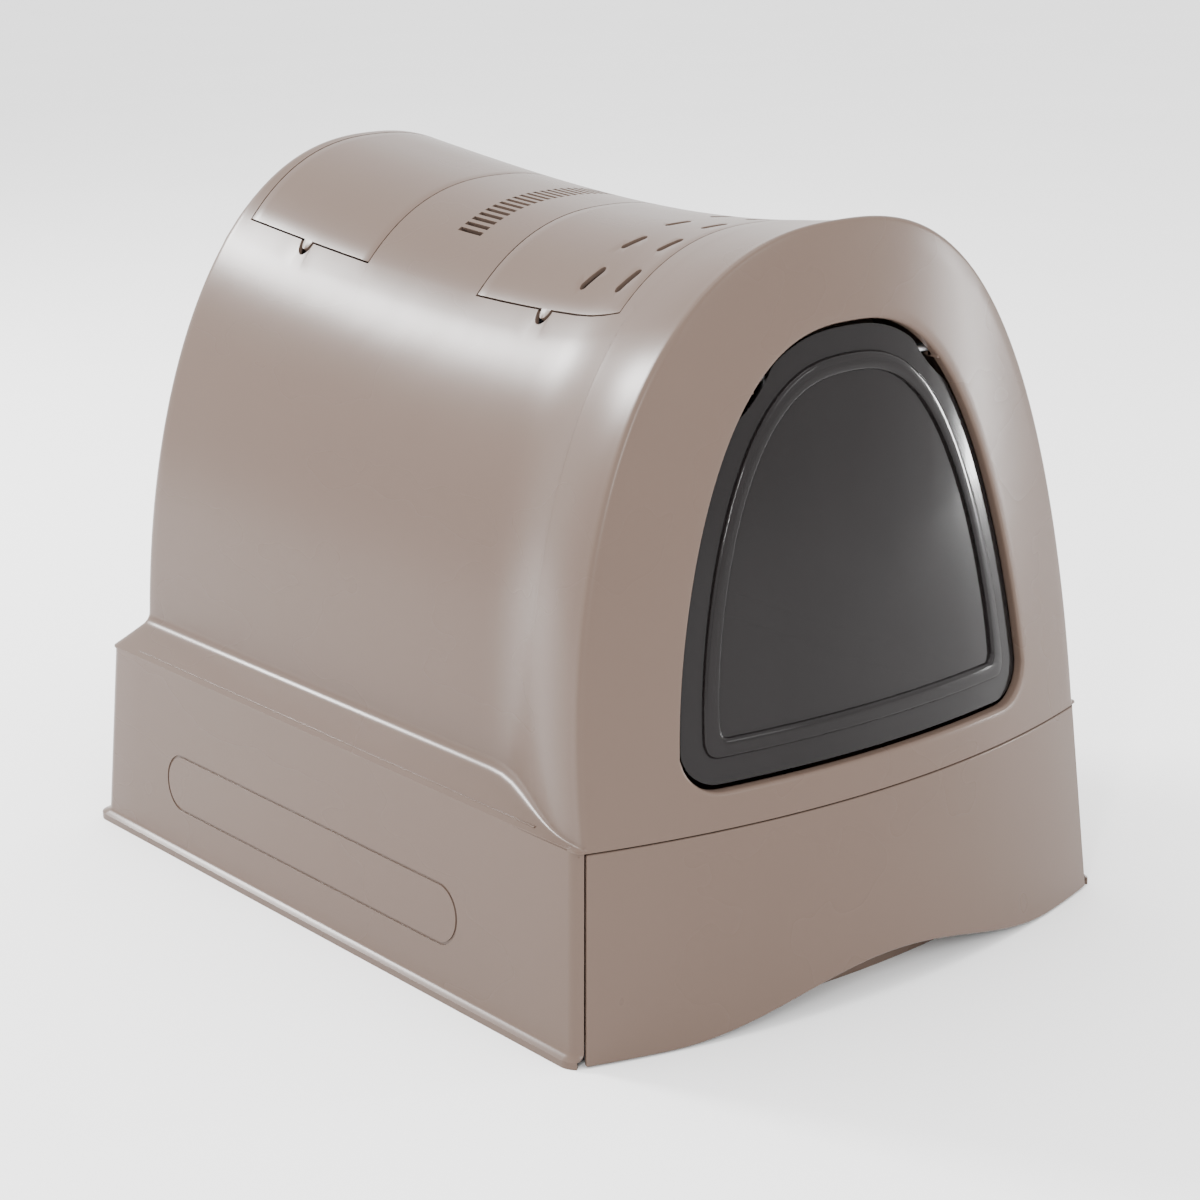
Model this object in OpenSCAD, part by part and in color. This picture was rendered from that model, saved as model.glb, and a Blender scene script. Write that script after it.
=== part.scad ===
// Hooded cat litter box: a base, a front drawer with its litter tray, a barrel-roofed hood,
// a see-through swing door and two roof lids, over a scoop store and a charcoal filter.
// Origin: centre of the footprint, on the floor. +X is the right-hand side seen from the
// front, +Y runs to the back, +Z is up. Sizes are in millimetres.

/* [Overall] */
// Width over the bottom lip
body_w = 395; // [370:1:480]
// Length from the middle of the bowed front to the back lip
body_l = 540; // [520:1:660]
// Height of the roof at the back
body_h = 430; // [415:1:520]
// Thickness of the moulded walls
wall = 3; // [2.5:0.25:3.5]

/* [Base] */
// Height of the base, up to the seam under the hood
base_h = 116; // [106:1:135]
// How far the middle of the front stands ahead of its corners
front_bow = 31; // [20:1:40]
// How far a base wall leans in between the floor and the seam
base_draft = 8.5; // [5:0.5:11]
// How far the bottom lip stands out from the wall
lip_out = 3.5; // [2:0.5:5]
// Radius of the upright corners
corner_r = 12; // [8:1:16]
// Height of the floor panel above the ground, which is the depth of the rubber feet
floor_z = 3; // [2:0.5:4]
// Thickness of the floor panel
floor_t = 3; // [2.5:0.5:4]
// Height of the long oval that is grooved into each side
oval_h = 36; // [28:1:44]

/* [Drawer] */
// Gap between the litter tray's rim and the base wall on each side
tray_gap = 3.5; // [2.5:0.5:5]
// Height of the tray's rim above the ground
tray_top = 103; // [96:1:104]
// Thickness of the litter tray
tray_t = 2.5; // [2:0.25:3]
// Thickness of the drawer front
front_t = 3.5; // [3:0.25:4]
// Finger room between the drawer front and the tray
grip_room = 24; // [20:1:30]
// Height of the wave cut into the bottom edge for the fingers
wave_h = 21.5; // [16:0.5:26]
// Half the width of that wave
wave_w = 145; // [110:5:150]

/* [Hood] */
// Width of the sloping shelf between the base wall and the hood wall
ledge_w = 25.5; // [20:0.5:30]
// Rise of that shelf
ledge_rise = 14; // [10:1:18]
// How much lower the front rim is than the roof at the back
front_drop = 7; // [3:1:12]
// How far the roof dips behind the front rim
saddle = 17.5; // [8:0.5:22]
// Length over which the hood flares out to its front rim
flare_l = 115; // [90:5:130]
// How far the front leans back over the hood's height
front_lean = 32.5; // [25:0.5:38]
// How far the back leans forward over the hood's height
back_lean = 39; // [30:1:45]
// Number of narrow vents across the roof
vent_count = 27; // [15:2:29]

/* [Doorway and door] */
// Width of the doorway at its sill
way_w = 255; // [220:1:270]
// Height of the doorway
way_h = 233.5; // [215:0.5:250]
// Height of the sill above the seam
sill_h = 19.5; // [16:0.5:26]
// Gap between the doorway and the door
door_gap = 3; // [2.5:0.25:3.5]
// Depth of the door's face behind the hood's face
door_recess = 5; // [4:0.5:6]
// Thickness of the door
door_t = 2.5; // [2:0.25:3]

/* [Roof lids] */
// Half the width of a lid
lid_hw = 94; // [88:1:98]
// Length of a lid
lid_l = 128; // [120:1:132]
// Distance of the front lid from the middle of the box
front_lid_y = -96; // [-100:1:-92]
// Distance of the rear lid from the middle of the box
rear_lid_y = 141; // [134:1:146]
// Thickness of a lid
lid_t = 2.5; // [2:0.25:3]
// Gap around a lid
lid_gap = 0.8; // [0.6:0.1:1]
// Gap beside a lid's hinge, which leaves room for its edge to turn
hinge_gap = 2.6; // [2:0.1:3]
// Depth of the scoop store under the lowest point of its lid's hinge
store_depth = 38; // [30:1:42]
// Depth of the filter cage under the lowest point of its lid's hinge
cage_depth = 20; // [16:1:22]

/* [Pins] */
// Radius of the door's pins
door_pin_r = 2.5; // [2:0.25:3]
// Radius of the lids' pins
lid_pin_r = 2; // [1.5:0.25:2.25]
// Radial clearance of a pin in the part that turns on it
run_fit = 0.06; // [0.04:0.01:0.1]
// Radial clearance of a pin in the part that holds it
seat_fit = 0.02; // [0.01:0.01:0.03]

/* [Hidden] */

TAUPE = [0.60, 0.54, 0.50];
SMOKE = [0.26, 0.25, 0.26, 0.6];
RUBBER = [0.13, 0.13, 0.14];
STEEL = [0.72, 0.73, 0.75];
CHARCOAL = [0.10, 0.10, 0.11];

eps = 0.01;
arc_steps = 44;      // steps round the hood's arch
length_steps = 16;   // steps along the hood
fine = 240;          // facets of the wide bowed surfaces
corner_fn = 36;      // facets of the plan's rounded corners
round_fn = 48;       // facets of small round features

// Plan of the box: half width at the seam, and the arc that bows the front
front_low = 1;       // gap under the drawer front's corners
seam_hw = body_w / 2 - lip_out - base_draft;
bow_r = (pow(seam_hw, 2) + pow(front_bow, 2)) / (2 * front_bow);
bow_y = -body_l / 2 + bow_r - base_draft * (wave_h + front_low) / base_h;
floor_top = floor_z + floor_t;
lip_band = 4;
lip_blend = 8;

// Drawer
runner_h = 2.5;
runner_w = 16;
runner_x = 110;
slide_gap = 0.3;     // running gap between flat or curved faces of neighbouring pieces
tray_z = floor_top + runner_h + slide_gap;
tray_lean = 6;
tray_r = 27;
rim_t = 2.5;
rim_inset = lip_out + base_draft + wall + tray_gap;
tray_inset = rim_inset + 3;
post_w = 4;          // width of the base's front corner posts at the seam
seam_gap = 0.8;
hook_x = [-110, 0, 110];
hook_w = 24;
hook_t = 3;
hook_reach = 14;
hook_drop = 6;

// Hood
arch_hw = seam_hw - ledge_w;
rim_hw = seam_hw - 4;
rim_h = body_h - front_drop;
hood_h = body_h - base_h;
skirt = 30;          // depth that the hood's forms run on below the seam, before trimming
tongue_t = 2.3;
tongue_h = 10;
vent_pitch = 4.9;
vent_w = 2.6;
vent_l = 22;
vent_y = 15;
notch_r = 6.5;
tab_r = 4;

// Doorway and door
sill_z = base_h + sill_h;
way_top = sill_z + way_h;
way_corner = 24;
collar_t = 2.5;
collar_d = door_recess + 1;
bead_in = 15;
bead_w = 8;
bead_h = 2.6;
door_axis_z = way_top - 24;
door_axis_y = front_y(54, door_axis_z) + door_recess + door_t + 2.9;
door_ear_x = 46;
door_ear_w = 7;
door_ear_r = 4.5;
door_boss_x = 66;
door_boss_w = 8;
door_boss_r = 5.5;
relief_r = 80;       // radius and depth of the bite that lets the door's edge turn past the doorway
relief_d = 3;
relief_z = door_axis_z - 3;

// Lid hinges: the pins' line runs under the right-hand edge of each lid, and follows the roof
hinge_in = 7.7;      // distance of the line inside the lid's edge
hinge_down = 0.7;    // and below it
hinge_x = lid_hw - hinge_in;
ear_r = 4;
ear_w = 7;
boss_w = 8;
boss_r = 4.5;
pocket_t = 2;
pocket_x = -106;
shelf_x = hinge_x - 11;
shelf_drop = 12;
pocket_end = boss_w + 5;

// Height of a lid's hinge line at one end of the lid (end is -1 at the front, 1 at the back)
function hinge_z(y, end) = roof_z(lid_hw, y + end * lid_l / 2) - hinge_down;
function hinge_tilt(y) = atan2(hinge_z(y, 1) - hinge_z(y, -1), lid_l);
function hinge_low(y) = min(hinge_z(y, -1), hinge_z(y, 1));

// ---- The outer surface ---------------------------------------------------------------

// 0 at the seam, 1 at the height of the roof
function rise(z) = (z - base_h) / hood_h;
// Front and back of the hood at a point of its elevation
function front_r(z) = bow_r - base_draft - front_lean * rise(z);
function front_y(x, z) = bow_y - sqrt(pow(front_r(z), 2) - x * x);
function back_y(z) = body_l / 2 - lip_out - base_draft - back_lean * rise(z);

// Arch of the hood at station u, from 0 at the front to 1 at the back
function flare(u) = (1 + cos(180 * min(1, u * (body_l - 40) / flare_l))) / 2;
function half_w(u) = arch_hw + (rim_hw - arch_hw) * flare(u);
function crown(u) = rim_h + (body_h - rim_h) * u - saddle * sin(180 * pow(u, 0.8));
function foot(u) = base_h + 2 + (ledge_rise - 2) * (1 - flare(u));
function side_power(u) = 2.36 + 0.1 * flare(u);
function top_power(u) = 2.17 - 0.12 * flare(u);

// Height of the roof above a point of the plan
function arch_z(x, u) = foot(u) + (crown(u) - foot(u))
    * pow(1 - pow(min(1, abs(x) / half_w(u)), side_power(u)), 1 / top_power(u));
function station(x, y, z) = (y - front_y(x, z)) / (back_y(z) - front_y(x, z));
function roof_z(x, y, z = 400, tries = 5) = tries == 0 ? z
    : roof_z(x, y, arch_z(x, max(0, min(1, station(x, y, z)))), tries - 1);

// One section of the hood, as [x, z] points from the left foot over the roof to the right
function section(u, d) = let (
        a = half_w(u) - d,
        f = foot(u) - 0.6 * d,
        c = crown(u) - d,
        shelf = base_h - 0.6 * d)
    concat(
        [[d - seam_hw, base_h - skirt], [d - seam_hw, shelf]],
        [for (i = [0:arc_steps]) let (
            t = 180 * i / arc_steps,
            side = -sign(cos(t)) * a * pow(abs(cos(t)), 2 / side_power(u)),
            up = f + (c - f) * pow(max(0, sin(t)), 2 / top_power(u))) [side, up]],
        [[seam_hw - d, shelf], [seam_hw - d, base_h - skirt]]);

// The hood as a solid, inset by d from the outer surface: d = 0 is the outside itself
module hood_form(d) {
    ends = body_l / 2 + 20;
    stations = [for (i = [0:length_steps]) pow(i / length_steps, 1.5)];
    rings = concat(
        [[for (p = section(0, d)) [p[0], -ends, p[1]]]],
        [for (u = stations) [for (p = section(u, d))
            [p[0], front_y(p[0], p[1]) * (1 - u) + back_y(p[1]) * u, p[1]]]],
        [[for (p = section(1, d)) [p[0], ends, p[1]]]]);
    n = len(rings[0]);
    last = len(rings) - 1;
    intersection() {
        polyhedron(
            points = [for (r = rings) each r],
            faces = concat(
                [[for (i = [0:n - 1]) i]],
                [[for (i = [n - 1:-1:0]) last * n + i]],
                [for (k = [0:last - 1], i = [0:n - 1]) let (j = (i + 1) % n)
                    each [[k * n + i, (k + 1) * n + i, (k + 1) * n + j],
                        [k * n + i, (k + 1) * n + j, k * n + j]]]),
            convexity = 6);
        bow_cone(d);
        back_plane(d);
        translate([0, 0, base_h - skirt])
            linear_extrude(hood_h + 2 * skirt) plan(lip_out + base_draft + d, base_draft + d);
    }
}

// Everything behind the hood's bowed, leaning front
module bow_cone(d) {
    low = base_h - skirt;
    high = body_h + skirt;
    translate([0, bow_y, low])
        cylinder(h = high - low, r1 = front_r(low) - d, r2 = front_r(high) - d, $fn = fine);
}

// Everything ahead of the hood's leaning back
module back_plane(d) {
    low = base_h - skirt;
    high = body_h + skirt;
    translate([-body_w, 0, 0]) rotate([90, 0, 90]) linear_extrude(2 * body_w)
        polygon([[-body_l, low], [back_y(low) - d, low], [back_y(high) - d, high], [-body_l, high]]);
}

// Plan of the box, inset by side at the sides and back, and by front at the bowed front
module plan(side, front, r = corner_r) {
    $fn = corner_fn;
    offset(r = r) offset(delta = -r) intersection() {
        translate([side - body_w / 2, -body_l])
            square([body_w - 2 * side, body_l * 1.5 - side]);
        translate([0, bow_y]) circle(bow_r - front, $fn = fine);
    }
}

// Thin slice of the plan, for a tapered wall
module slice(z, side, front, r = corner_r) {
    translate([0, 0, z]) linear_extrude(eps) plan(side, front, r);
}

// A freeform moulding, closed into one skin before any bore is cut
module moulding() {
    resize([0, 0, 0]) union() children();
}

// A flat outline stood up facing the front, from y0 to y1
module facing(y0, y1) {
    translate([0, y1, 0]) rotate([90, 0, 0]) linear_extrude(y1 - y0) children();
}

// A bar of radius r along X
module bar_x(x, y, z, l, r) {
    translate([x, y, z]) rotate([0, 90, 0]) cylinder(h = l, r = r, $fn = round_fn);
}

// ---- Base ----------------------------------------------------------------------------

module base() {
    color(TAUPE) moulding() difference() {
        union() {
            hull() {
                slice(0, lip_out, 0);
                slice(base_h - eps, lip_out + base_draft, base_draft);
            }
            hull() {
                linear_extrude(lip_band) plan(0, 0);
                slice(lip_blend, lip_out, base_draft * lip_blend / base_h);
            }
        }
        hull() {
            slice(floor_top, lip_out + wall, wall);
            slice(base_h, lip_out + base_draft + wall, base_draft + wall);
        }
        translate([0, 0, -1]) linear_extrude(floor_z + 1)
            plan(lip_out + wall, grip_room + 2 * front_t + wall);
        drawer_mouth();
        for (s = [-1, 1]) side_oval(s);
    }
}

// Half width of the opening between the front posts, which lean with the walls
function mouth_hw(z) = seam_hw - post_w + base_draft * (1 - z / base_h);

// The outline of that opening, narrowed by d on each side, from z0 to z1
module mouth_outline(z0, z1, d) {
    polygon([[d - mouth_hw(z0), z0], [mouth_hw(z0) - d, z0],
        [mouth_hw(z1) - d, z1], [d - mouth_hw(z1), z1]]);
}

// The opening for the drawer, back to the floor's bowed front edge
module drawer_mouth() {
    difference() {
        facing(-body_l, 0) mouth_outline(-1, base_h + 1, 0);
        translate([0, bow_y, -2])
            cylinder(h = base_h + 4, r = bow_r - grip_room - 2 * front_t, $fn = fine);
    }
}

// Shallow groove in the outline of a long oval, square to the leaning side wall
module side_oval(s) {
    lean = atan2(base_draft, base_h);
    groove_w = 1.6;
    groove_d = 0.9;
    from = -128;
    to = body_l / 2 - 86;
    mid_z = 48;
    face_x = body_w / 2 - lip_out - base_draft * mid_z / base_h;
    translate([s * face_x, 0, mid_z]) rotate([0, -s * lean, 0])
        translate([s > 0 ? -groove_d : -1, 0, 0]) rotate([90, 0, 90])
        linear_extrude(groove_d + 1) difference() {
            oval(from, to, oval_h);
            oval(from + groove_w, to - groove_w, oval_h - 2 * groove_w);
        }
}

// An oval with round ends, from x0 to x1
module oval(x0, x1, h) {
    translate([x0 + h / 2, -h / 2]) square([x1 - x0 - h, h]);
    for (x = [x0 + h / 2, x1 - h / 2]) translate([x, 0]) circle(h / 2, $fn = round_fn);
}

module rubber_feet() {
    color(RUBBER) for (x = [-150, 150], y = [60 - body_l / 2 + 40, body_l / 2 - 55])
        translate([x, y, 0]) cylinder(h = floor_z, r = 13, $fn = round_fn);
}

module drawer_runner(s) {
    from = -body_l / 2 + grip_room + 2 * front_t + 14;
    to = body_l / 2 - 30;
    color(TAUPE) translate([s * runner_x, 0, floor_top]) {
        translate([-runner_w / 2, from, 0]) cube([runner_w, to - from, runner_h]);
        for (y = [from, to]) translate([0, y, 0])
            cylinder(h = runner_h, r = runner_w / 2, $fn = round_fn);
    }
}
module drawer_runner_left() drawer_runner(-1);
module drawer_runner_right() drawer_runner(1);

// ---- Drawer --------------------------------------------------------------------------

module litter_tray() {
    nose = grip_room + front_t;
    color(TAUPE) moulding() difference() {
        union() {
            hull() {
                slice(tray_z, tray_inset + tray_lean, nose, tray_r);
                slice(tray_top - eps, tray_inset, nose + base_draft, tray_r);
            }
            translate([0, 0, tray_top - rim_t]) linear_extrude(rim_t)
                plan(rim_inset, front_t + base_draft + slide_gap, corner_r);
        }
        hull() {
            slice(tray_z + tray_t, tray_inset + tray_lean + tray_t, nose + tray_t, tray_r - tray_t);
            slice(tray_top, tray_inset + tray_t, nose + base_draft + tray_t, tray_r - tray_t);
        }
        for (x = hook_x) hook_slot(x);
    }
}

// Back of a hook, measured from the bow's centre line at that x
function hook_y(x) = bow_y - sqrt(pow(bow_r - front_t - base_draft, 2) - x * x) + hook_reach;

module hook_slot(x) {
    translate([x - hook_w / 2 - slide_gap, hook_y(x) - hook_t - slide_gap, tray_top - rim_t - 1])
        cube([hook_w + 2 * slide_gap, hook_t + 2 * slide_gap, rim_t + 2]);
}

module drawer_front() {
    color(TAUPE) {
        difference() {
            intersection() {
                translate([0, bow_y, 0])
                    cylinder(h = base_h, r1 = bow_r, r2 = bow_r - base_draft, $fn = fine);
                facing(-body_l, 0) mouth_outline(front_low, base_h - seam_gap, seam_gap);
            }
            translate([0, bow_y, 0]) cylinder(h = base_h, r1 = bow_r - front_t,
                r2 = bow_r - base_draft - front_t, $fn = fine);
            facing(-body_l, 0) wave();
        }
        for (x = hook_x) drawer_hook(x);
    }
}

// The finger wave: a cosine hump in the bottom edge
module wave() {
    steps = 30;
    polygon(concat([[-wave_w, -1]],
        [for (i = [0:steps]) let (x = wave_w * (2 * i / steps - 1))
            [x, front_low + wave_h * (1 + cos(180 * x / wave_w)) / 2]],
        [[wave_w, -1]]));
}

// A hook on the drawer front's back, lying on the tray's rim and dropping into its slot
module drawer_hook(x) {
    y = hook_y(x);
    root = 4;
    difference() {
        translate([x - hook_w / 2, y - hook_reach - root, tray_top])
            cube([hook_w, hook_reach + root, hook_t]);
        difference() {
            translate([x - hook_w, y - hook_reach - 20, 0]) cube([2 * hook_w, 40, base_h]);
            translate([0, bow_y, 0]) cylinder(h = base_h, r1 = bow_r - front_t / 2,
                r2 = bow_r - base_draft - front_t / 2, $fn = fine);
        }
    }
    translate([x - hook_w / 2, y - hook_t, tray_top - hook_drop])
        cube([hook_w, hook_t, hook_drop + hook_t]);
}

// ---- Hood ----------------------------------------------------------------------------

module hood() {
    color(TAUPE) difference() {
        moulding() {
            hood_shell();
            door_collar();
            seam_tongue();
            intersection() {
                hood_form(0.4);
                union() {
                    for (s = [-1, 1]) door_boss(s);
                    for (y = [front_lid_y, rear_lid_y], end = [-1, 1]) lid_boss(y, end);
                }
            }
        }
        for (s = [-1, 1])
            bar_x(s > 0 ? door_boss_x - 1 : -door_boss_x - door_boss_w - 1, door_axis_y,
                door_axis_z, door_boss_w + 2, door_pin_r + seat_fit);
        for (y = [front_lid_y, rear_lid_y], end = [-1, 1])
            on_hinge(y) hinge_bar(end, boss_from() - 1, boss_w + 2, lid_pin_r + seat_fit);
    }
}

module hood_shell() {
    difference() {
        intersection() {
            hood_form(0);
            translate([-body_w, -body_l, base_h]) cube([2 * body_w, 2 * body_l, body_h]);
        }
        hood_form(wall);
        facing(-body_l, -body_l / 2 + 110) way_outline(0);
        for (y = [front_lid_y, rear_lid_y]) lid_prism(y, lid_gap, hinge_gap, notch_r);
        for (i = [0:vent_count - 1])
            translate([(i - (vent_count - 1) / 2) * vent_pitch - vent_w / 2, vent_y - vent_l / 2,
                base_h + hood_h / 2])
                cube([vent_w, vent_l, hood_h]);
    }
}

// The doorway: an arch with round bottom corners, inset by d
module way_outline(d) {
    hw = way_w / 2 - d;
    low = sill_z + d;
    h = way_h - 2 * d;
    r = way_corner - min(d, way_corner - 4);
    steps = 48;
    $fn = round_fn;
    offset(r = r) offset(delta = -r)
        polygon([for (i = [0:steps]) let (t = 180 * i / steps)
            [-sign(cos(t)) * hw * pow(abs(cos(t)), 2 / 2.56),
                low + h * pow(max(0, sin(t)), 2 / 1.61)]]);
}

// Half width of the doorway at a height, and how fast it narrows there
function way_x(z) = way_w / 2 * pow(1 - pow((z - sill_z) / way_h, 1.61), 1 / 2.56);
function way_taper(z) = (way_x(z - 1) - way_x(z + 1)) / 2;

// The door's outline: the doorway's, with a shallow bite beside each pin
module door_outline() {
    off = relief_r - relief_d - door_gap;
    turn = atan(way_taper(relief_z));
    difference() {
        way_outline(door_gap);
        for (s = [-1, 1])
            translate([s * (way_x(relief_z) + off * cos(turn)), relief_z + off * sin(turn)])
                circle(relief_r, $fn = fine);
    }
}

// A return round the doorway, behind the face
module door_collar() {
    difference() {
        intersection() {
            hood_form(0);
            facing(-body_l, 0) difference() {
                way_outline(-collar_t);
                way_outline(0);
            }
        }
        bow_cone(collar_d);
    }
}

// A tongue down each side, which locates the hood inside the base's walls
module seam_tongue() {
    from = -body_l / 2 + 80;
    to = body_l / 2 - 45;
    intersection() {
        hood_form(0.2);
        for (s = [-1, 1])
            translate([s * (seam_hw - wall - slide_gap - tongue_t / 2) - tongue_t / 2, from,
                base_h - tongue_h])
                cube([tongue_t, to - from, tongue_h + 3]);
    }
}

module door_boss(s) {
    x = s > 0 ? door_boss_x : -door_boss_x - door_boss_w;
    bar_x(x, door_axis_y, door_axis_z, door_boss_w, door_boss_r);
    translate([x, door_axis_y - 14, door_axis_z - door_boss_r])
        cube([door_boss_w, 14, 2 * door_boss_r]);
}

// ---- Roof lids, their hinges and the pockets under them ------------------------------

// Moves to a lid's hinge line: its middle, with +Y along the line
module on_hinge(y) {
    mid = (hinge_z(y, -1) + hinge_z(y, 1)) / 2;
    translate([hinge_x, y, mid]) rotate([hinge_tilt(y), 0, 0]) children();
}

// A bar on the hinge line, starting from a distance beyond the lid's middle, at one end
module hinge_bar(end, from, l, r) {
    translate([0, end > 0 ? from : -from - l, 0]) rotate([-90, 0, 0])
        cylinder(h = l, r = r, $fn = round_fn);
}

function boss_from() = lid_l / 2 + lid_gap + 1;
function ear_from() = lid_l / 2 - ear_w - 2;

module lid_boss(y, end) {
    from = boss_from();
    on_hinge(y) {
        hinge_bar(end, from, boss_w, boss_r);
        translate([-boss_r, end > 0 ? from : -from - boss_w, 0]) cube([2 * boss_r, boss_w, 20]);
    }
}

// The plan of a lid with its finger tab, grown by d, and by e at the hinge, as a prism
module lid_prism(y, d, e, r) {
    low = base_h + hood_h / 2;
    translate([0, y, low]) linear_extrude(hood_h) {
        translate([-lid_hw - d, -lid_l / 2 - d])
            square([2 * lid_hw + d + e, lid_l + 2 * d]);
        translate([-lid_hw, 0]) circle(r, $fn = round_fn);
    }
}

module lid(y) {
    difference() {
        moulding() {
            intersection() {
                difference() {
                    hood_form(0);
                    hood_form(lid_t);
                }
                lid_prism(y, 0, 0, tab_r);
            }
            intersection() {
                hood_form(0.4);
                for (end = [-1, 1]) lid_ear(y, end);
            }
        }
        for (end = [-1, 1])
            on_hinge(y) hinge_bar(end, ear_from() - 1, ear_w + 4, lid_pin_r + run_fit);
        children();
    }
}

module lid_ear(y, end) {
    from = ear_from();
    on_hinge(y) {
        hinge_bar(end, from, ear_w, ear_r);
        translate([-ear_r, end > 0 ? from : -from - ear_w, 0]) cube([2 * ear_r, ear_w, 20]);
    }
}

module lid_pin(y, end) {
    from = ear_from();
    color(STEEL) on_hinge(y)
        hinge_bar(end, from + 0.5, boss_from() + boss_w - from - 1, lid_pin_r);
}

module storage_lid() {
    color(TAUPE) lid(rear_lid_y);
}
module storage_lid_pin_front() lid_pin(rear_lid_y, -1);
module storage_lid_pin_rear() lid_pin(rear_lid_y, 1);

module filter_lid() {
    color(TAUPE) lid(front_lid_y) air_slots();
}
module filter_lid_pin_front() lid_pin(front_lid_y, -1);
module filter_lid_pin_rear() lid_pin(front_lid_y, 1);

// Two columns of slanted slots, which let air up through the filter
module air_slots() {
    slot_l = 15;
    slot_w = 5.5;
    for (x = [-76, -47, -16, 16, 47, 76], y = [-18.5, -49])
        translate([x, front_lid_y + y, base_h + hood_h / 2]) rotate([0, 0, -22])
            linear_extrude(hood_h) oval(-slot_l / 2, slot_l / 2, slot_w);
}

// A pocket hung under the roof round a lid's opening, with a shelf under the hinge, and with
// a floor of thickness f
module pocket(y, depth, f) {
    low = hinge_low(y) - depth;
    shelf = hinge_low(y) - shelf_drop;
    right = hinge_x + 15;
    hl = lid_l / 2 + pocket_end;
    difference() {
        intersection() {
            hood_form(wall);
            union() {
                box([pocket_x, y - hl, low], [shelf_x, y + hl, body_h]);
                box([shelf_x - 1, y - hl, shelf], [right, y + hl, body_h]);
            }
        }
        box([pocket_x + pocket_t, y - hl + pocket_t, low + f],
            [shelf_x - pocket_t, y + hl - pocket_t, body_h]);
        box([shelf_x - pocket_t - 1, y - hl + pocket_t, shelf + pocket_t],
            [right - pocket_t, y + hl - pocket_t, body_h]);
    }
}

// A block between two opposite corners
module box(a, b) {
    translate(a) cube(b - a);
}

module storage_bin() {
    color(TAUPE) moulding() pocket(rear_lid_y, store_depth, pocket_t);
}

module filter_cage() {
    color(TAUPE) moulding() pocket(front_lid_y, cage_depth, -1);
}

// The cage's floor: a plate with windows, let into the walls
module filter_grille() {
    cols = 8;
    rows = 5;
    window = [13, 18];
    bar = [6, 5];
    low = hinge_low(front_lid_y) - cage_depth;
    size = [shelf_x - pocket_x - 2 * pocket_t, lid_l + 2 * (pocket_end - pocket_t), pocket_t];
    first = [bar[0] - cols * (window[0] + bar[0]), bar[1] - rows * (window[1] + bar[1])] / 2;
    color(TAUPE) translate([(pocket_x + shelf_x) / 2, front_lid_y, low]) difference() {
        translate([-size[0] / 2, -size[1] / 2, 0]) cube(size);
        for (i = [0:cols - 1], j = [0:rows - 1])
            translate([first[0] + i * (window[0] + bar[0]), first[1] + j * (window[1] + bar[1]), -1])
                cube([window[0], window[1], pocket_t + 2]);
    }
}

module carbon_filter() {
    pad_t = 9;
    low = hinge_low(front_lid_y) - cage_depth + pocket_t;
    color(CHARCOAL) translate([-88, front_lid_y - 57, low]) {
        translate([0, 6, 0]) cube([152, 102, pad_t]);
        translate([6, 0, 0]) cube([140, 114, pad_t]);
        for (x = [6, 146], y = [6, 108]) translate([x, y, 0])
            cylinder(h = pad_t, r = 6, $fn = round_fn);
    }
}

module litter_scoop() {
    low = hinge_low(rear_lid_y) - store_depth + pocket_t;
    pan_l = 84;
    pan_w = 88;
    pan_h = 14;
    skin = 2.2;
    grip_l = 82;
    grip_w = 24;
    color(RUBBER) translate([-96, rear_lid_y, low]) {
        difference() {
            translate([0, -pan_w / 2, 0]) cube([pan_l, pan_w, pan_h]);
            translate([-1, -pan_w / 2 + skin, skin]) cube([pan_l - skin + 1, pan_w - 2 * skin, pan_h]);
            for (i = [-3:3]) translate([8, i * 11, -1]) linear_extrude(skin + 2)
                oval(0, pan_l - 20, 6);
        }
        difference() {
            union() {
                translate([pan_l - 1, -grip_w / 2, pan_h - 8]) cube([grip_l - grip_w / 2, grip_w, 8]);
                translate([pan_l - 1 + grip_l - grip_w / 2, 0, pan_h - 8])
                    cylinder(h = 8, r = grip_w / 2, $fn = round_fn);
            }
            translate([pan_l - 1 + grip_l - grip_w / 2, 0, 0]) cylinder(h = 30, r = 5, $fn = round_fn);
        }
    }
}

// ---- Swing door ----------------------------------------------------------------------

module swing_door() {
    color(SMOKE) difference() {
        moulding() {
            intersection() {
                difference() {
                    bow_cone(door_recess);
                    bow_cone(door_recess + door_t);
                }
                facing(-body_l, 0) door_outline();
            }
            intersection() {
                difference() {
                    bow_cone(door_recess - bead_h);
                    bow_cone(door_recess + door_t / 2);
                }
                facing(-body_l, 0) difference() {
                    way_outline(door_gap + bead_in);
                    way_outline(door_gap + bead_in + bead_w);
                }
            }
            intersection() {
                bow_cone(door_recess + 0.4);
                for (s = [-1, 1]) door_ear(s);
            }
        }
        for (s = [-1, 1])
            bar_x(ear_x(s) - 1, door_axis_y, door_axis_z, door_ear_w + 2, door_pin_r + run_fit);
    }
}

function ear_x(s) = s > 0 ? door_ear_x : -door_ear_x - door_ear_w;

module door_ear(s) {
    bar_x(ear_x(s), door_axis_y, door_axis_z, door_ear_w, door_ear_r);
    translate([ear_x(s), door_axis_y - 12, door_axis_z - door_ear_r])
        cube([door_ear_w, 12, 2 * door_ear_r]);
}

module door_pin(s) {
    from = door_ear_x + 0.5;
    l = door_boss_x + door_boss_w - from;
    color(STEEL) bar_x(s > 0 ? from : -from - l, door_axis_y, door_axis_z, l, door_pin_r);
}
module door_pin_left() door_pin(-1);
module door_pin_right() door_pin(1);

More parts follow.
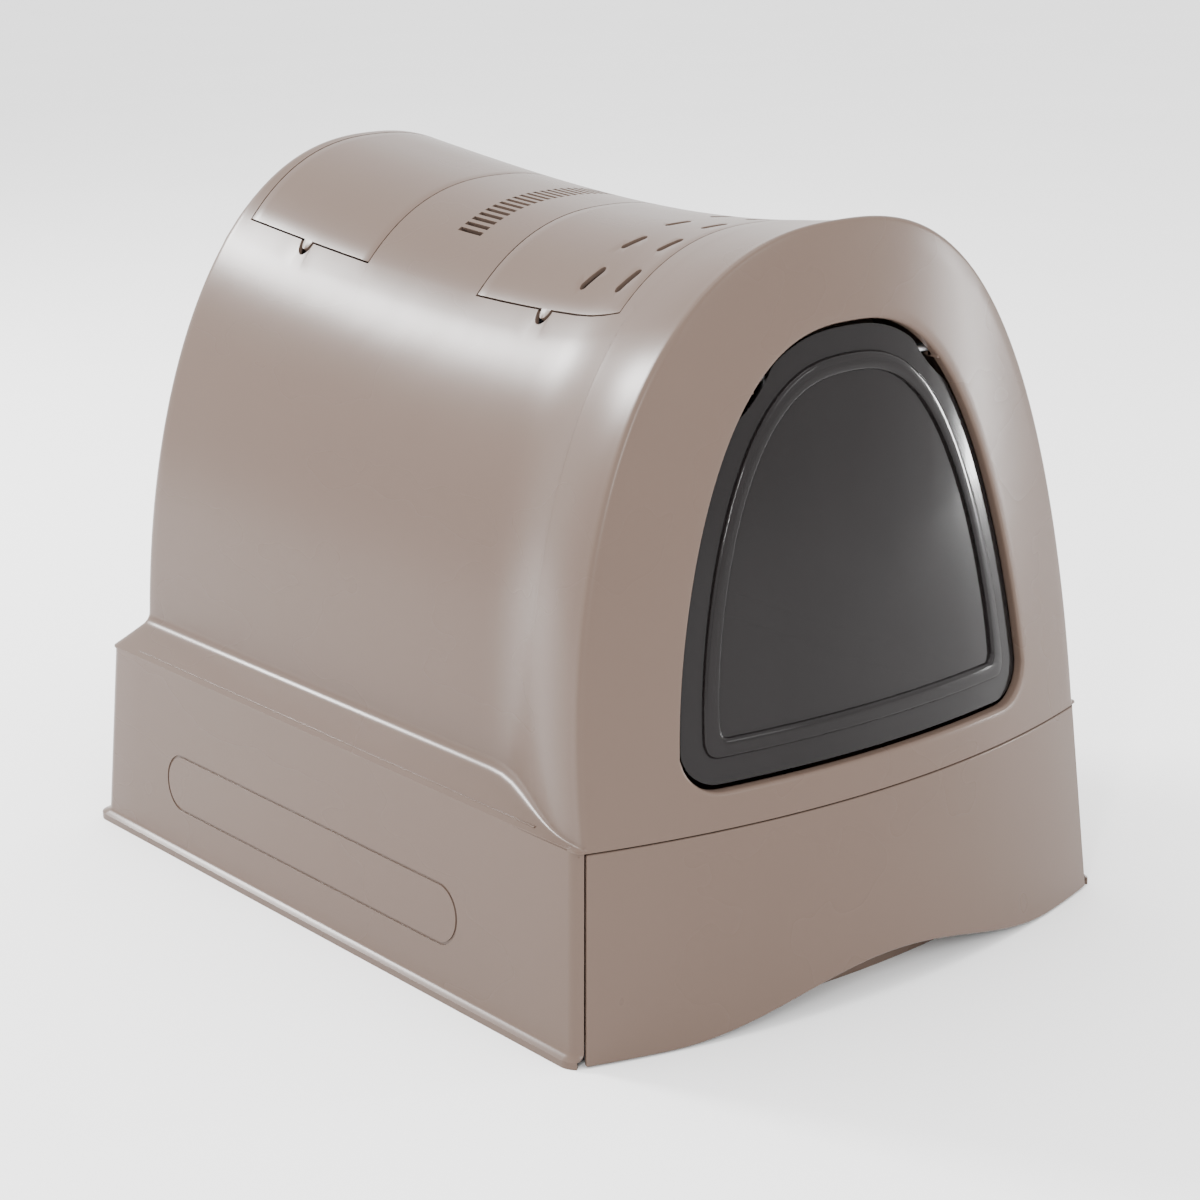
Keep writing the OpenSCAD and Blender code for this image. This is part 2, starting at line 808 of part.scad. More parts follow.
base();
rubber_feet();
drawer_runner_left();
drawer_runner_right();
litter_tray();
drawer_front();
hood();
swing_door();
door_pin_left();
door_pin_right();
storage_lid();
storage_lid_pin_front();
storage_lid_pin_rear();
storage_bin();
litter_scoop();
filter_lid();
filter_lid_pin_front();
filter_lid_pin_rear();
filter_cage();
filter_grille();
carbon_filter();
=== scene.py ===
"""Hooded cat litter box: a grooved base, a bowed drawer, a barrel-roofed hood and its lids.

Sizes are in millimetres in the classes below and turn into metres as a mesh is placed.
"""

import logging
import math
from collections.abc import Callable, Iterable, Sequence
from dataclasses import dataclass, field
from enum import Enum

import bmesh
import bpy
from mathutils import Matrix, Vector


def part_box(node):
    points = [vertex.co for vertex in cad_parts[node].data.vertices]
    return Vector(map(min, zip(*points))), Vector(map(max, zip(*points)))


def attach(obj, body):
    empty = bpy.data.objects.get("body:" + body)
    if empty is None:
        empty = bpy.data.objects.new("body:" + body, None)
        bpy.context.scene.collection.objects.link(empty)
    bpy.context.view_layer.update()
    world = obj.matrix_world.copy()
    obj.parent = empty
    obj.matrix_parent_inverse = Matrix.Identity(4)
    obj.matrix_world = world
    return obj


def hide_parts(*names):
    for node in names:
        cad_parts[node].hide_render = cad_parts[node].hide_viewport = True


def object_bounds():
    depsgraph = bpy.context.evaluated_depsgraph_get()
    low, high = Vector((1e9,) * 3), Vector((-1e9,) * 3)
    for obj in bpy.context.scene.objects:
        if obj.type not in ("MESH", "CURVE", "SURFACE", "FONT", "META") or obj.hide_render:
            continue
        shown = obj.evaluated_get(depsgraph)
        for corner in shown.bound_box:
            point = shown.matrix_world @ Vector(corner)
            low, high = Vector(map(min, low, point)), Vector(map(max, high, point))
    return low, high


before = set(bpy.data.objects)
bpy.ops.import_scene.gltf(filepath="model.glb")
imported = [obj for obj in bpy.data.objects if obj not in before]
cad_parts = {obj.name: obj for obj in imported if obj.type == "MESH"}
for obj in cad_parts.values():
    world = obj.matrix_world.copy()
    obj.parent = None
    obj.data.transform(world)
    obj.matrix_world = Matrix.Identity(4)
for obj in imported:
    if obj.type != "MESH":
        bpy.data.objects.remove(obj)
CAD_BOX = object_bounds()

MM = 0.001
LOG = logging.getLogger("litter_box")


class Side(Enum):
    """Left or right of the box, seen from its front."""

    LEFT = -1
    RIGHT = 1


class End(Enum):
    """Front or rear end of a roof lid."""

    FRONT = -1
    REAR = 1


class LidKind(Enum):
    """The two roof lids, from front to rear: over the filter, and over the storage bin."""

    FILTER = "filter"
    STORAGE = "storage"

    @property
    def mid_y(self) -> float:
        """Gives y of the lid's middle."""
        return -96.0 if self is LidKind.FILTER else 141.0

    @property
    def body(self) -> str:
        """Gives the name of the lid's body."""
        return "front_lid" if self is LidKind.FILTER else "rear_lid"


# ---- Form ----------------------------------------------------------------------------


def superellipse(half_w: float, low: float, height: float, angle: float,
                 side_power: float, top_power: float) -> tuple[float, float]:
    """Gives a point of an arch that stands on a flat foot.

    Args:
        half_w: half the arch's width at its foot.
        low: height of the foot.
        height: height of the arch above its foot.
        angle: 0 at the left foot, pi at the right foot, in radians.
        side_power: how square the arch is at its sides.
        top_power: how square it is at its top.

    Returns:
        The point's x and z.
    """
    c, s = math.cos(angle), max(0.0, math.sin(angle))
    x = -math.copysign(abs(c) ** (2 / side_power), c) * half_w
    return x, low + height * s ** (2 / top_power)


@dataclass(frozen=True)
class BoxForm:
    """Sizes of the whole box, and the rules that its curved walls follow."""

    width: float = (CAD_BOX[1][0] - CAD_BOX[0][0]) / MM
    length: float = (CAD_BOX[1][1] - CAD_BOX[0][1]) / MM
    height: float = (CAD_BOX[1][2] - CAD_BOX[0][2]) / MM
    seam_z: float = 116.0
    bow: float = 31.0
    draft: float = 8.5
    lip: float = 3.5
    corner_r: float = 12.0
    wave_h: float = 21.5
    wave_w: float = 145.0
    low_gap: float = 1.0
    ledge_w: float = 25.5
    ledge_rise: float = 14.0
    front_drop: float = 7.0
    saddle: float = 17.5
    flare_l: float = 115.0
    rim_band: float = 8.0
    front_lean: float = 32.5
    back_lean: float = 39.0
    post_w: float = 4.0

    @property
    def seam_hw(self) -> float:
        """Half the width at the seam between base and hood."""
        return self.width / 2 - self.lip - self.draft

    @property
    def bow_r(self) -> float:
        """Radius of the bowed front at the floor."""
        return (self.seam_hw ** 2 + self.bow ** 2) / (2 * self.bow)

    @property
    def bow_y(self) -> float:
        """Centre of the bowed front."""
        leant = self.draft * (self.wave_h + self.low_gap) / self.seam_z
        return -self.length / 2 + self.bow_r - leant

    @property
    def rim_hw(self) -> float:
        """Half the width of the hood's front rim at its foot."""
        return self.seam_hw - 4.0

    def rise(self, z: float) -> float:
        """Gives 0 at the seam and 1 at the height of the roof."""
        return (z - self.seam_z) / (self.height - self.seam_z)

    def front_y(self, x: float, z: float, d: float = 0.0) -> float:
        """Gives y of the hood's bowed, leaning front, d behind its face."""
        r = self.bow_r - self.draft - self.front_lean * self.rise(z) - d
        return self.bow_y - math.sqrt(r * r - x * x)

    def base_front_y(self, x: float, z: float, d: float = 0.0) -> float:
        """Gives y of the base's bowed front, d behind its face."""
        r = self.bow_r - self.draft * z / self.seam_z - d
        return self.bow_y - math.sqrt(r * r - x * x)

    def plan(self, side: float, front: float, r: float, z: float, open_by: float | None = None
             ) -> list[Vector]:
        """Gives the box's outline seen from above, from the left front corner round by the back.

        Args:
            side: distance inside the full width and length.
            front: distance inside the bowed front.
            r: radius of the corners.
            z: height of the outline.
            open_by: width of the front posts, or None for an outline that runs on along the bow.

        Returns:
            The outline's points.
        """
        far, back, bow = self.width / 2 - side, self.length / 2 - side, self.bow_r - front
        mid = self.bow_y - math.sqrt((bow - r) ** 2 - (far - r) ** 2)
        last = math.acos((far - r) / (bow - r)) if open_by is None else math.acos(1 - open_by / r)
        left = []
        if open_by is None:
            reach = bow * math.cos(last)
            left = [(-reach * i / 20, self.bow_y - math.sqrt(bow * bow - (reach * i / 20) ** 2))
                    for i in range(20)]
        for i in range(9):
            a = last * (1 - i / 9)
            left.append((-far + r - r * math.cos(a), mid - r * math.sin(a)))
        left += [(-far, mid + (back - r - mid) * i / 16) for i in range(16)]
        for i in range(10):
            a = math.pi / 2 * i / 10
            left.append((-far + r - r * math.cos(a), back - r + r * math.sin(a)))
        left += [((r - far) * (1 - i / 12), back) for i in range(12)]
        first = 1 if open_by is None else 0
        right = [(-x, y) for x, y in reversed(left[first:])]
        return [Vector((x, y, z)) for x, y in left + [(0.0, back)] + right]

    def back_y(self, z: float) -> float:
        """Gives y of the hood's leaning back."""
        return self.length / 2 - self.lip - self.draft - self.back_lean * self.rise(z)

    def flare(self, u: float) -> float:
        """Gives how far the hood is flared at station u: 1 on the front rim, 0 past it."""
        run = u * (self.length - 40) - self.rim_band
        return (1 + math.cos(math.pi * min(1.0, max(0.0, run) / (self.flare_l - self.rim_band)))) / 2

    def half_w(self, u: float) -> float:
        """Gives half the arch's width at station u."""
        plain = self.seam_hw - self.ledge_w
        return plain + (self.rim_hw - plain) * self.flare(u)

    def crown(self, u: float) -> float:
        """Gives the roof's height on the middle line at station u."""
        front = self.height - self.front_drop
        return front + self.front_drop * u - self.saddle * math.sin(math.pi * max(0.0, u) ** 0.8)

    def foot(self, u: float) -> float:
        """Gives the height at which the arch stands on the ledge at station u."""
        return self.seam_z + 2 + (self.ledge_rise - 2) * (1 - self.flare(u))

    def powers(self, u: float) -> tuple[float, float]:
        """Gives the arch's two powers at station u."""
        return 2.36 + 0.1 * self.flare(u), 2.17 - 0.12 * self.flare(u)

    def station(self, x: float, y: float, z: float) -> float:
        """Gives the share of the way from front to back at a point, from 0 to 1."""
        front = self.front_y(x, z)
        return min(1.0, max(0.0, (y - front) / (self.back_y(z) - front)))

    def roof_z(self, x: float, y: float) -> float:
        """Gives the height of the roof over a point of the plan.

        Args:
            x: distance from the middle line.
            y: distance from the middle of the length.

        Returns:
            The height of the roof's outer surface.
        """
        z = self.height - 20
        for _ in range(6):
            u = self.station(x, y, z)
            side, top = self.powers(u)
            reach = min(1.0, abs(x) / self.half_w(u)) ** side
            z = self.foot(u) + (self.crown(u) - self.foot(u)) * (1 - reach) ** (1 / top)
        return z

    def roof_point(self, x: float, y: float, up: float) -> Vector:
        """Gives a point at a height above the roof, square to it, over a point of the plan.

        Args:
            x: distance from the middle line.
            y: distance from the middle of the length.
            up: height above the roof's outer surface, negative for below it.

        Returns:
            The point, in millimetres.
        """
        step = 1.0
        z = self.roof_z(x, y)
        dx = (self.roof_z(x + step, y) - self.roof_z(x - step, y)) / (2 * step)
        dy = (self.roof_z(x, y + step) - self.roof_z(x, y - step)) / (2 * step)
        normal = Vector((-dx, -dy, 1)).normalized()
        return Vector((x, y, z)) + up * normal


FORM = BoxForm()


@dataclass(frozen=True)
class Doorway:
    """Sizes of the hood's doorway and of the outline that the door shares with it."""

    width: float = 255.0
    height: float = 233.5
    sill_z: float = 135.5
    corner_r: float = 24.0
    side_power: float = 2.56
    top_power: float = 1.61
    mid_z: float = 225.0
    count: int = 184

    def outline(self, d: float) -> list[tuple[float, float]]:
        """Gives the outline drawn in by d, with its bottom corners rounded.

        Args:
            d: distance inwards, negative for outwards.

        Returns:
            Points as x and z, from the middle of the sill round by the left.
        """
        half, low, high = self.width / 2 - d, self.sill_z + d, self.height - 2 * d
        r = self.corner_r - min(d, self.corner_r - 4)
        sill, bend = 14, 18
        arch = self.count // 2 - sill - bend
        centre_x, centre_z = half - r - 1.2, low + r
        left = [(-centre_x * i / sill, low) for i in range(sill)]
        for i in range(bend):
            a = math.pi / 2 * i / bend
            left.append((-centre_x - r * math.sin(a), centre_z - r * math.cos(a)))
        start = math.asin((r / high) ** (self.top_power / 2))
        for i in range(arch + 1):
            a = start + (math.pi / 2 - start) * i / arch
            x, z = superellipse(half, low, high, a, self.side_power, self.top_power)
            ease = max(0.0, 1 - i / 10)
            left.append((x + ease * ease * 0.4, z))
        return left + [(-x, z) for x, z in reversed(left[1:-1])]


WAY = Doorway()


# ---- Mesh tools ----------------------------------------------------------------------


class Loft:
    """A skin drawn out ring by ring from one outline, by extruding its edges."""

    def __init__(self, closed: bool) -> None:
        """Starts an empty skin.

        Args:
            closed: whether its rings are closed loops, or else open chains.
        """
        self.bm = bmesh.new()
        self.closed = closed
        self.verts: list[bmesh.types.BMVert] = []

    def start(self, points: Sequence[Vector]) -> None:
        """Lays the first ring.

        Args:
            points: the ring's points, in millimetres.
        """
        made = bmesh.ops.create_circle(self.bm, cap_ends=False, segments=len(points), radius=1)
        self.verts = list(made["verts"])
        if not self.closed:
            bmesh.ops.delete(self.bm, geom=[self._edge(-1)], context="EDGES_FACES")
            self.verts = list(self.bm.verts)
        self._place(points)

    def ring(self, points: Sequence[Vector]) -> None:
        """Draws the skin on to the next ring.

        Args:
            points: as many points as the ring before has, in millimetres.
        """
        made = bmesh.ops.extrude_edge_only(self.bm, edges=self.edges())["geom"]
        new = {tuple(v.co): v for v in made if isinstance(v, bmesh.types.BMVert)}
        self.verts = [new[tuple(v.co)] for v in self.verts]
        self._place(points)

    def narrow(self, first: int, last: int) -> None:
        """Goes on as an open chain, from the ring's first to its last point named here."""
        self.verts = self.verts[first:last + 1]
        self.closed = False

    def cap(self) -> None:
        """Closes the last ring with one face."""
        self.bm.faces.new(self.verts)

    def edges(self) -> list[bmesh.types.BMEdge]:
        """Lists the last ring's edges."""
        last = len(self.verts) if self.closed else len(self.verts) - 1
        return [self._edge(i) for i in range(last)]

    def _edge(self, i: int) -> bmesh.types.BMEdge:
        """Gives the edge after the ring's point i."""
        return self.bm.edges.get((self.verts[i], self.verts[(i + 1) % len(self.verts)]))

    def _place(self, points: Sequence[Vector]) -> None:
        """Moves the ring's points to their places."""
        for vert, point in zip(self.verts, points, strict=True):
            vert.co = Vector(point) * MM


def grid(cols: int, rows: int, place: Callable[[int, int], Vector]) -> bmesh.types.BMesh:
    """Makes a sheet of cols by rows faces.

    Args:
        cols: number of faces across.
        rows: number of faces along.
        place: gives the point at a column and a row, in millimetres.

    Returns:
        The new mesh.
    """
    bm = bmesh.new()
    bmesh.ops.create_grid(bm, x_segments=cols, y_segments=rows, size=0.5)
    for vert in bm.verts:
        i, j = round((vert.co.x + 0.5) * cols), round((vert.co.y + 0.5) * rows)
        vert.co = place(i, j) * MM
    return bm


def block(low: Sequence[float], high: Sequence[float], round_by: float = 0.0) -> bmesh.types.BMesh:
    """Makes a box between two corners, with its edges rounded.

    Args:
        low: lowest corner, in millimetres.
        high: highest corner.
        round_by: width of the rounding, or 0 for none.

    Returns:
        The new mesh.
    """
    bm = bmesh.new()
    bmesh.ops.create_cube(bm, size=1)
    span = [h - l for l, h in zip(low, high)]
    mid = [(h + l) / 2 for l, h in zip(low, high)]
    bmesh.ops.scale(bm, vec=Vector(span) * MM, verts=bm.verts)
    bmesh.ops.translate(bm, vec=Vector(mid) * MM, verts=bm.verts)
    if round_by > 0:
        bmesh.ops.bevel(bm, geom=bm.edges[:], offset=round_by * MM, offset_type="OFFSET", segments=3,
                        profile=0.5, affect="EDGES", clamp_overlap=True, material=-1)
    return bm


def rod(start: Vector, axis: Vector, length: float, radius: float, round_by: float = 0.3,
        sides: int = 32) -> bmesh.types.BMesh:
    """Makes a round bar along an axis, with its two rims rounded.

    Args:
        start: centre of the first end, in millimetres.
        axis: direction of the bar.
        length: length of the bar.
        radius: radius of the bar.
        round_by: width of the rims' rounding.
        sides: number of faces round the bar.

    Returns:
        The new mesh.
    """
    bm = bmesh.new()
    bmesh.ops.create_cone(bm, cap_ends=True, segments=sides, radius1=radius * MM, radius2=radius * MM,
                          depth=length * MM)
    rims = [e for e in bm.edges if abs(e.verts[0].co.z - e.verts[1].co.z) < 1e-7]
    bmesh.ops.bevel(bm, geom=rims, offset=round_by * MM, offset_type="OFFSET", segments=2, profile=0.5,
                    affect="EDGES", clamp_overlap=True, material=-1)
    turn = Vector((0, 0, 1)).rotation_difference(axis.normalized()).to_matrix()
    bmesh.ops.rotate(bm, cent=(0, 0, 0), matrix=turn, verts=bm.verts)
    bmesh.ops.translate(bm, vec=(start + axis.normalized() * length / 2) * MM, verts=bm.verts)
    return bm


def merged(parts: Iterable[bmesh.types.BMesh]) -> bmesh.types.BMesh:
    """Puts several meshes into one and frees them.

    Args:
        parts: the meshes.

    Returns:
        The new mesh.
    """
    whole = bmesh.new()
    for part in parts:
        mesh = bpy.data.meshes.new("part")
        part.to_mesh(mesh)
        part.free()
        whole.from_mesh(mesh)
        bpy.data.meshes.remove(mesh)
    return whole


@dataclass(frozen=True)
class Wall:
    """How a skin gets its thickness and how its edges are rounded."""

    thickness: float = 0.0
    edge: float = 0.4
    segments: int = 2
    angle: float = 32.0


def to_object(bm: bmesh.types.BMesh, name: str, out: Vector | None = None,
              smooth: float = 30.0) -> bpy.types.Object:
    """Turns a mesh into an object whose faces look outwards.

    Args:
        bm: the mesh, which is freed.
        name: name of the piece.
        out: a direction from which the first face is seen, for a skin that isn't closed.
        smooth: edges that turn more than this many degrees stay sharp.

    Returns:
        The new object.
    """
    bmesh.ops.recalc_face_normals(bm, faces=bm.faces)
    bm.faces.ensure_lookup_table()
    if out is not None:
        lean = sum((f.normal.dot(out) * f.calc_area() for f in bm.faces), 0.0)
        if lean < 0:
            bmesh.ops.reverse_faces(bm, faces=bm.faces)
    for face in bm.faces:
        face.smooth = True
    mesh = bpy.data.meshes.new(name)
    bm.to_mesh(mesh)
    bm.free()
    mesh.set_sharp_from_angle(angle=math.radians(smooth))
    obj = bpy.data.objects.new(name, mesh)
    bpy.context.scene.collection.objects.link(obj)
    return obj


def thicken(obj: bpy.types.Object, wall: Wall) -> None:
    """Gives a skin its thickness inwards and rounds its edges.

    Args:
        obj: the piece.
        wall: thickness and rounding.
    """
    if wall.thickness > 0:
        solid = obj.modifiers.new("Wall", "SOLIDIFY")
        solid.thickness, solid.offset, solid.use_even_offset = wall.thickness * MM, -1, False
        solid.use_quality_normals = True
    if wall.edge > 0:
        bevel = obj.modifiers.new("Edge", "BEVEL")
        bevel.width, bevel.segments, bevel.limit_method = wall.edge * MM, wall.segments, "ANGLE"
        bevel.angle_limit = math.radians(wall.angle)
        bevel.harden_normals = True


def apply_modifiers(obj: bpy.types.Object, smooth: float = 30.0) -> None:
    """Bakes a piece's modifiers into its mesh.

    Args:
        obj: the piece.
        smooth: edges that turn more than this many degrees stay sharp.
    """
    shape = obj.evaluated_get(bpy.context.evaluated_depsgraph_get())
    mesh = bpy.data.meshes.new_from_object(shape)
    obj.modifiers.clear()
    old, obj.data = obj.data, mesh
    name = old.name
    bpy.data.meshes.remove(old)
    mesh.name = name
    for polygon in mesh.polygons:
        polygon.use_smooth = True
    mesh.set_sharp_from_angle(angle=math.radians(smooth))


def cut(obj: bpy.types.Object, cutters: Sequence[bpy.types.Object]) -> None:
    """Cuts shapes out of a piece, and removes the cutters.

    Args:
        obj: the piece.
        cutters: closed objects to take away from it.
    """
    for i, cutter in enumerate(cutters):
        knife = obj.modifiers.new(f"Cut{i}", "BOOLEAN")
        knife.operation, knife.solver, knife.object = "DIFFERENCE", "EXACT", cutter
    apply_modifiers(obj)
    for cutter in cutters:
        mesh = cutter.data
        bpy.data.objects.remove(cutter)
        bpy.data.meshes.remove(mesh)


# ---- Shader tools --------------------------------------------------------------------


class Sock:
    """A shader socket that takes part in Python expressions."""

    def __init__(self, tree: bpy.types.NodeTree, socket: bpy.types.NodeSocket) -> None:
        """Wraps one output socket of a node tree."""
        self.tree, self.socket = tree, socket

    def _math(self, kind: str, *values: "Sock | float") -> "Sock":
        """Adds a Math node and gives its output."""
        return Nodes(self.tree).add("ShaderNodeMath", {"operation": kind}, dict(enumerate(values)))

    def __add__(self, other: "Sock | float") -> "Sock":
        """Adds."""
        return self._math("ADD", self, other)

    __radd__ = __add__

    def __sub__(self, other: "Sock | float") -> "Sock":
        """Takes away."""
        return self._math("SUBTRACT", self, other)

    def __rsub__(self, other: "Sock | float") -> "Sock":
        """Takes this from a number."""
        return self._math("SUBTRACT", other, self)

    def __mul__(self, other: "Sock | float") -> "Sock":
        """Multiplies."""
        return self._math("MULTIPLY", self, other)

    __rmul__ = __mul__

    def power(self, exponent: float) -> "Sock":
        """Raises to a power."""
        return self._math("POWER", self, exponent)

    def clamp(self) -> "Sock":
        """Keeps the value between 0 and 1."""
        return self._math("MINIMUM", self._math("MAXIMUM", self, 0.0), 1.0)


class Nodes:
    """Adds nodes to one shader tree."""

    def __init__(self, tree: bpy.types.NodeTree) -> None:
        """Works on the given tree."""
        self.tree = tree

    def add(self, kind: str, settings: dict[str, object] | None = None,
            inputs: dict[int | str, object] | None = None, output: int | str = 0) -> Sock:
        """Adds one node.

        Args:
            kind: type of the node.
            settings: the node's own settings, set first.
            inputs: values or Socks for its inputs, by index or name.
            output: which output to give back.

        Returns:
            The wrapped output.
        """
        node = self.tree.nodes.new(kind)
        for key, value in (settings or {}).items():
            if key == "stops":
                self._stops(node, value)
            else:
                setattr(node, key, value)
        for key, value in (inputs or {}).items():
            if isinstance(value, Sock):
                self.tree.links.new(value.socket, node.inputs[key])
            else:
                node.inputs[key].default_value = value
        return Sock(self.tree, node.outputs[output])

    def noise(self, scale: float, detail: float = 2.0, stretch: Sequence[float] = (1, 1, 1),
              rough: float = 0.5) -> Sock:
        """Adds a noise over the piece's own coordinates.

        Args:
            scale: waves per metre.
            detail: octaves.
            stretch: factor on each axis.
            rough: strength of the finer octaves.

        Returns:
            The noise, about 0.5 on average.
        """
        place = self.add("ShaderNodeTexCoord", output="Object")
        if tuple(stretch) != (1, 1, 1):
            place = self.add("ShaderNodeMapping", inputs={"Vector": place, "Scale": tuple(stretch)})
        return self.add("ShaderNodeTexNoise", inputs={
            "Vector": place, "Scale": scale, "Detail": detail, "Roughness": rough})

    def ramp(self, value: Sock, stops: Sequence[tuple[float, float]]) -> Sock:
        """Maps a value through grey stops, given as place and brightness."""
        colours = [(at, (g, g, g, 1.0)) for at, g in stops]
        return self.add("ShaderNodeValToRGB", {"stops": colours}, {"Fac": value})

    def mix(self, factor: Sock | float, a: object, b: object) -> Sock:
        """Mixes two colours."""
        return self.add("ShaderNodeMix", {"data_type": "RGBA"}, {0: factor, 6: a, 7: b}, output=2)

    def bump(self, height: Sock, depth: float, strength: float = 1.0) -> Sock:
        """Turns a height into a normal, with the depth in millimetres."""
        return self.add("ShaderNodeBump", inputs={
            "Height": height, "Distance": depth * MM, "Strength": strength})

    @staticmethod
    def _stops(node: bpy.types.Node, stops: Sequence[tuple[float, tuple]]) -> None:
        """Sets a colour ramp's stops.

        Args:
            node: the ramp's node.
            stops: each stop's place and colour.
        """
        ramp = node.color_ramp
        while len(ramp.elements) < len(stops):
            ramp.elements.new(1.0)
        for element, (at, colour) in zip(ramp.elements, stops):
            element.position, element.color = at, colour


def new_material(name: str) -> tuple[bpy.types.Material, Nodes, bpy.types.Node]:
    """Makes an empty material.

    Args:
        name: name of the material.

    Returns:
        The material, its node tools and its main shader.
    """
    material = bpy.data.materials.new(name)
    material.use_nodes = True
    tree = material.node_tree
    return material, Nodes(tree), tree.nodes["Principled BSDF"]


def shades(colour: Sequence[float], tone: float) -> tuple[tuple[float, ...], tuple[float, ...]]:
    """Gives a finish's dark and light shade, which differ from its colour by a share, tone."""
    dark, light = (tuple(c * share for c in colour[:3]) + (1.0,) for share in (1 - tone, 1 + tone))
    return dark, light


@dataclass(frozen=True)
class MouldedPlastic:
    """Satin moulded plastic with a fine grain, a soft ripple and a slight change of tone."""

    name: str
    colour: tuple[float, float, float, float]
    tone: float = 0.05
    roughness: float = 0.28
    spread: float = 0.07
    grain_pitch: float = 0.7
    grain_depth: float = 0.012
    ripple_depth: float = 0.12
    coat: float = 0.03
    gloss: float = 0.13

    def make(self) -> bpy.types.Material:
        """Builds the material.

        Returns:
            The finished material.
        """
        material, nodes, shader = new_material(self.name)
        tree = nodes.tree
        cloud = nodes.noise(7.0, 3.0)
        speck = nodes.noise(240.0, 2.0)
        flow = nodes.noise(16.0, 2.0, stretch=(1.0, 0.22, 1.0))
        dark, light = shades(self.colour, self.tone)
        share = (cloud * 0.6 + speck * 0.2 + flow * 0.35 - 0.075).clamp()
        tree.links.new(nodes.mix(share, dark, light).socket, shader.inputs["Base Color"])
        rough = (self.roughness + (cloud - 0.5) * self.spread + (flow - 0.5) * self.spread).clamp()
        tree.links.new(rough.socket, shader.inputs["Roughness"])
        shader.inputs["Coat Weight"].default_value = self.coat
        shader.inputs["Coat Roughness"].default_value = 0.2
        shader.inputs["Specular IOR Level"].default_value = self.gloss
        grain = nodes.noise(1000 / self.grain_pitch, 1.0)
        ripple = nodes.noise(28.0, 1.0)
        height = grain * (self.grain_depth / self.ripple_depth) + ripple
        tree.links.new(nodes.bump(height, self.ripple_depth).socket, shader.inputs["Normal"])
        return material


@dataclass(frozen=True)
class SmokedPlastic:
    """Polished smoked see-through plastic with faint flow lines and fine scuffs."""

    name: str = "smoked"
    colour: tuple[float, float, float, float] = (0.0075, 0.0062, 0.0062, 1.0)
    tone: float = 0.12
    alpha: float = 0.9
    roughness: float = 0.12
    gloss: float = 0.14

    def make(self) -> bpy.types.Material:
        """Builds the material.

        Returns:
            The finished material.
        """
        material, nodes, shader = new_material(self.name)
        tree = nodes.tree
        flow = nodes.noise(9.0, 3.0, stretch=(1.6, 1.0, 0.25))
        scuff = nodes.noise(90.0, 3.0, stretch=(1.0, 1.0, 0.2))
        dark, light = shades(self.colour, self.tone)
        tree.links.new(nodes.mix(flow, dark, light).socket, shader.inputs["Base Color"])
        rough = self.roughness + (scuff - 0.5) * 0.08
        tree.links.new(rough.socket, shader.inputs["Roughness"])
        tree.links.new((self.alpha + (flow - 0.5) * 0.06).clamp().socket, shader.inputs["Alpha"])
        shader.inputs["Specular IOR Level"].default_value = self.gloss
        shader.inputs["Coat Weight"].default_value = 0.1
        shader.inputs["Coat Roughness"].default_value = 0.04
        height = nodes.noise(14.0, 1.0, stretch=(1.0, 1.0, 0.35))
        tree.links.new(nodes.bump(height, 0.35).socket, shader.inputs["Normal"])
        return material


@dataclass(frozen=True)
class DrawnSteel:
    """Drawn steel wire with fine lines along it."""

    name: str = "pin_steel"

    def make(self) -> bpy.types.Material:
        """Builds the material.

        Returns:
            The finished material.
        """
        material, nodes, shader = new_material(self.name)
        tree = nodes.tree
        draw = nodes.noise(400.0, 2.0, stretch=(1.0, 0.1, 1.0))
        tone = nodes.mix(draw, (0.46, 0.47, 0.49, 1.0), (0.64, 0.65, 0.67, 1.0))
        tree.links.new(tone.socket, shader.inputs["Base Color"])
        tree.links.new((0.24 + draw * 0.16).socket, shader.inputs["Roughness"])
        shader.inputs["Metallic"].default_value = 1.0
        tree.links.new(nodes.bump(draw, 0.02).socket, shader.inputs["Normal"])
        return material


@dataclass(frozen=True)
class SoftRubber:
    """Matt black rubber with a fine grain and some floor dust."""

    name: str = "rubber"

    def make(self) -> bpy.types.Material:
        """Builds the material.

        Returns:
            The finished material.
        """
        material, nodes, shader = new_material(self.name)
        tree = nodes.tree
        dust = nodes.ramp(nodes.noise(70.0, 4.0), [(0.45, 0.0), (0.75, 0.5)])
        tone = nodes.mix(dust, (0.018, 0.018, 0.02, 1.0), (0.09, 0.085, 0.08, 1.0))
        tree.links.new(tone.socket, shader.inputs["Base Color"])
        tree.links.new((0.72 + dust * 0.2).clamp().socket, shader.inputs["Roughness"])
        tree.links.new(nodes.bump(nodes.noise(1400.0, 1.0), 0.05).socket, shader.inputs["Normal"])
        return material


@dataclass(frozen=True)
class CharcoalFoam:
    """Open black foam charged with charcoal grains, with painted shade darkening each pore hollow."""

    name: str = "charcoal"
    cell: float = 2.2

    def make(self) -> bpy.types.Material:
        """Builds the material.

        Returns:
            The finished material.
        """
        material, nodes, shader = new_material(self.name)
        tree = nodes.tree
        place = nodes.add("ShaderNodeTexCoord", output="Object")
        cells = nodes.add("ShaderNodeTexVoronoi", {"feature": "DISTANCE_TO_EDGE"},
                          {"Vector": place, "Scale": 1000 / self.cell})
        pore_shade_and_relief = nodes.ramp(cells, [(0.02, 1.0), (0.22, 0.0)])
        fleck = nodes.noise(900.0, 2.0)
        # painted shade: each pore hollow takes the darker tone, the cell walls the lighter one
        tone = nodes.mix(pore_shade_and_relief, (0.008, 0.008, 0.009, 1.0), (0.055, 0.055, 0.058, 1.0))
        tree.links.new(tone.socket, shader.inputs["Base Color"])
        shader.inputs["Specular IOR Level"].default_value = 0.1
        tree.links.new((0.95 - fleck * 0.25).clamp().socket, shader.inputs["Roughness"])
        tree.links.new(nodes.bump(pore_shade_and_relief + fleck * 0.3, 0.6).socket, shader.inputs["Normal"])
        return material


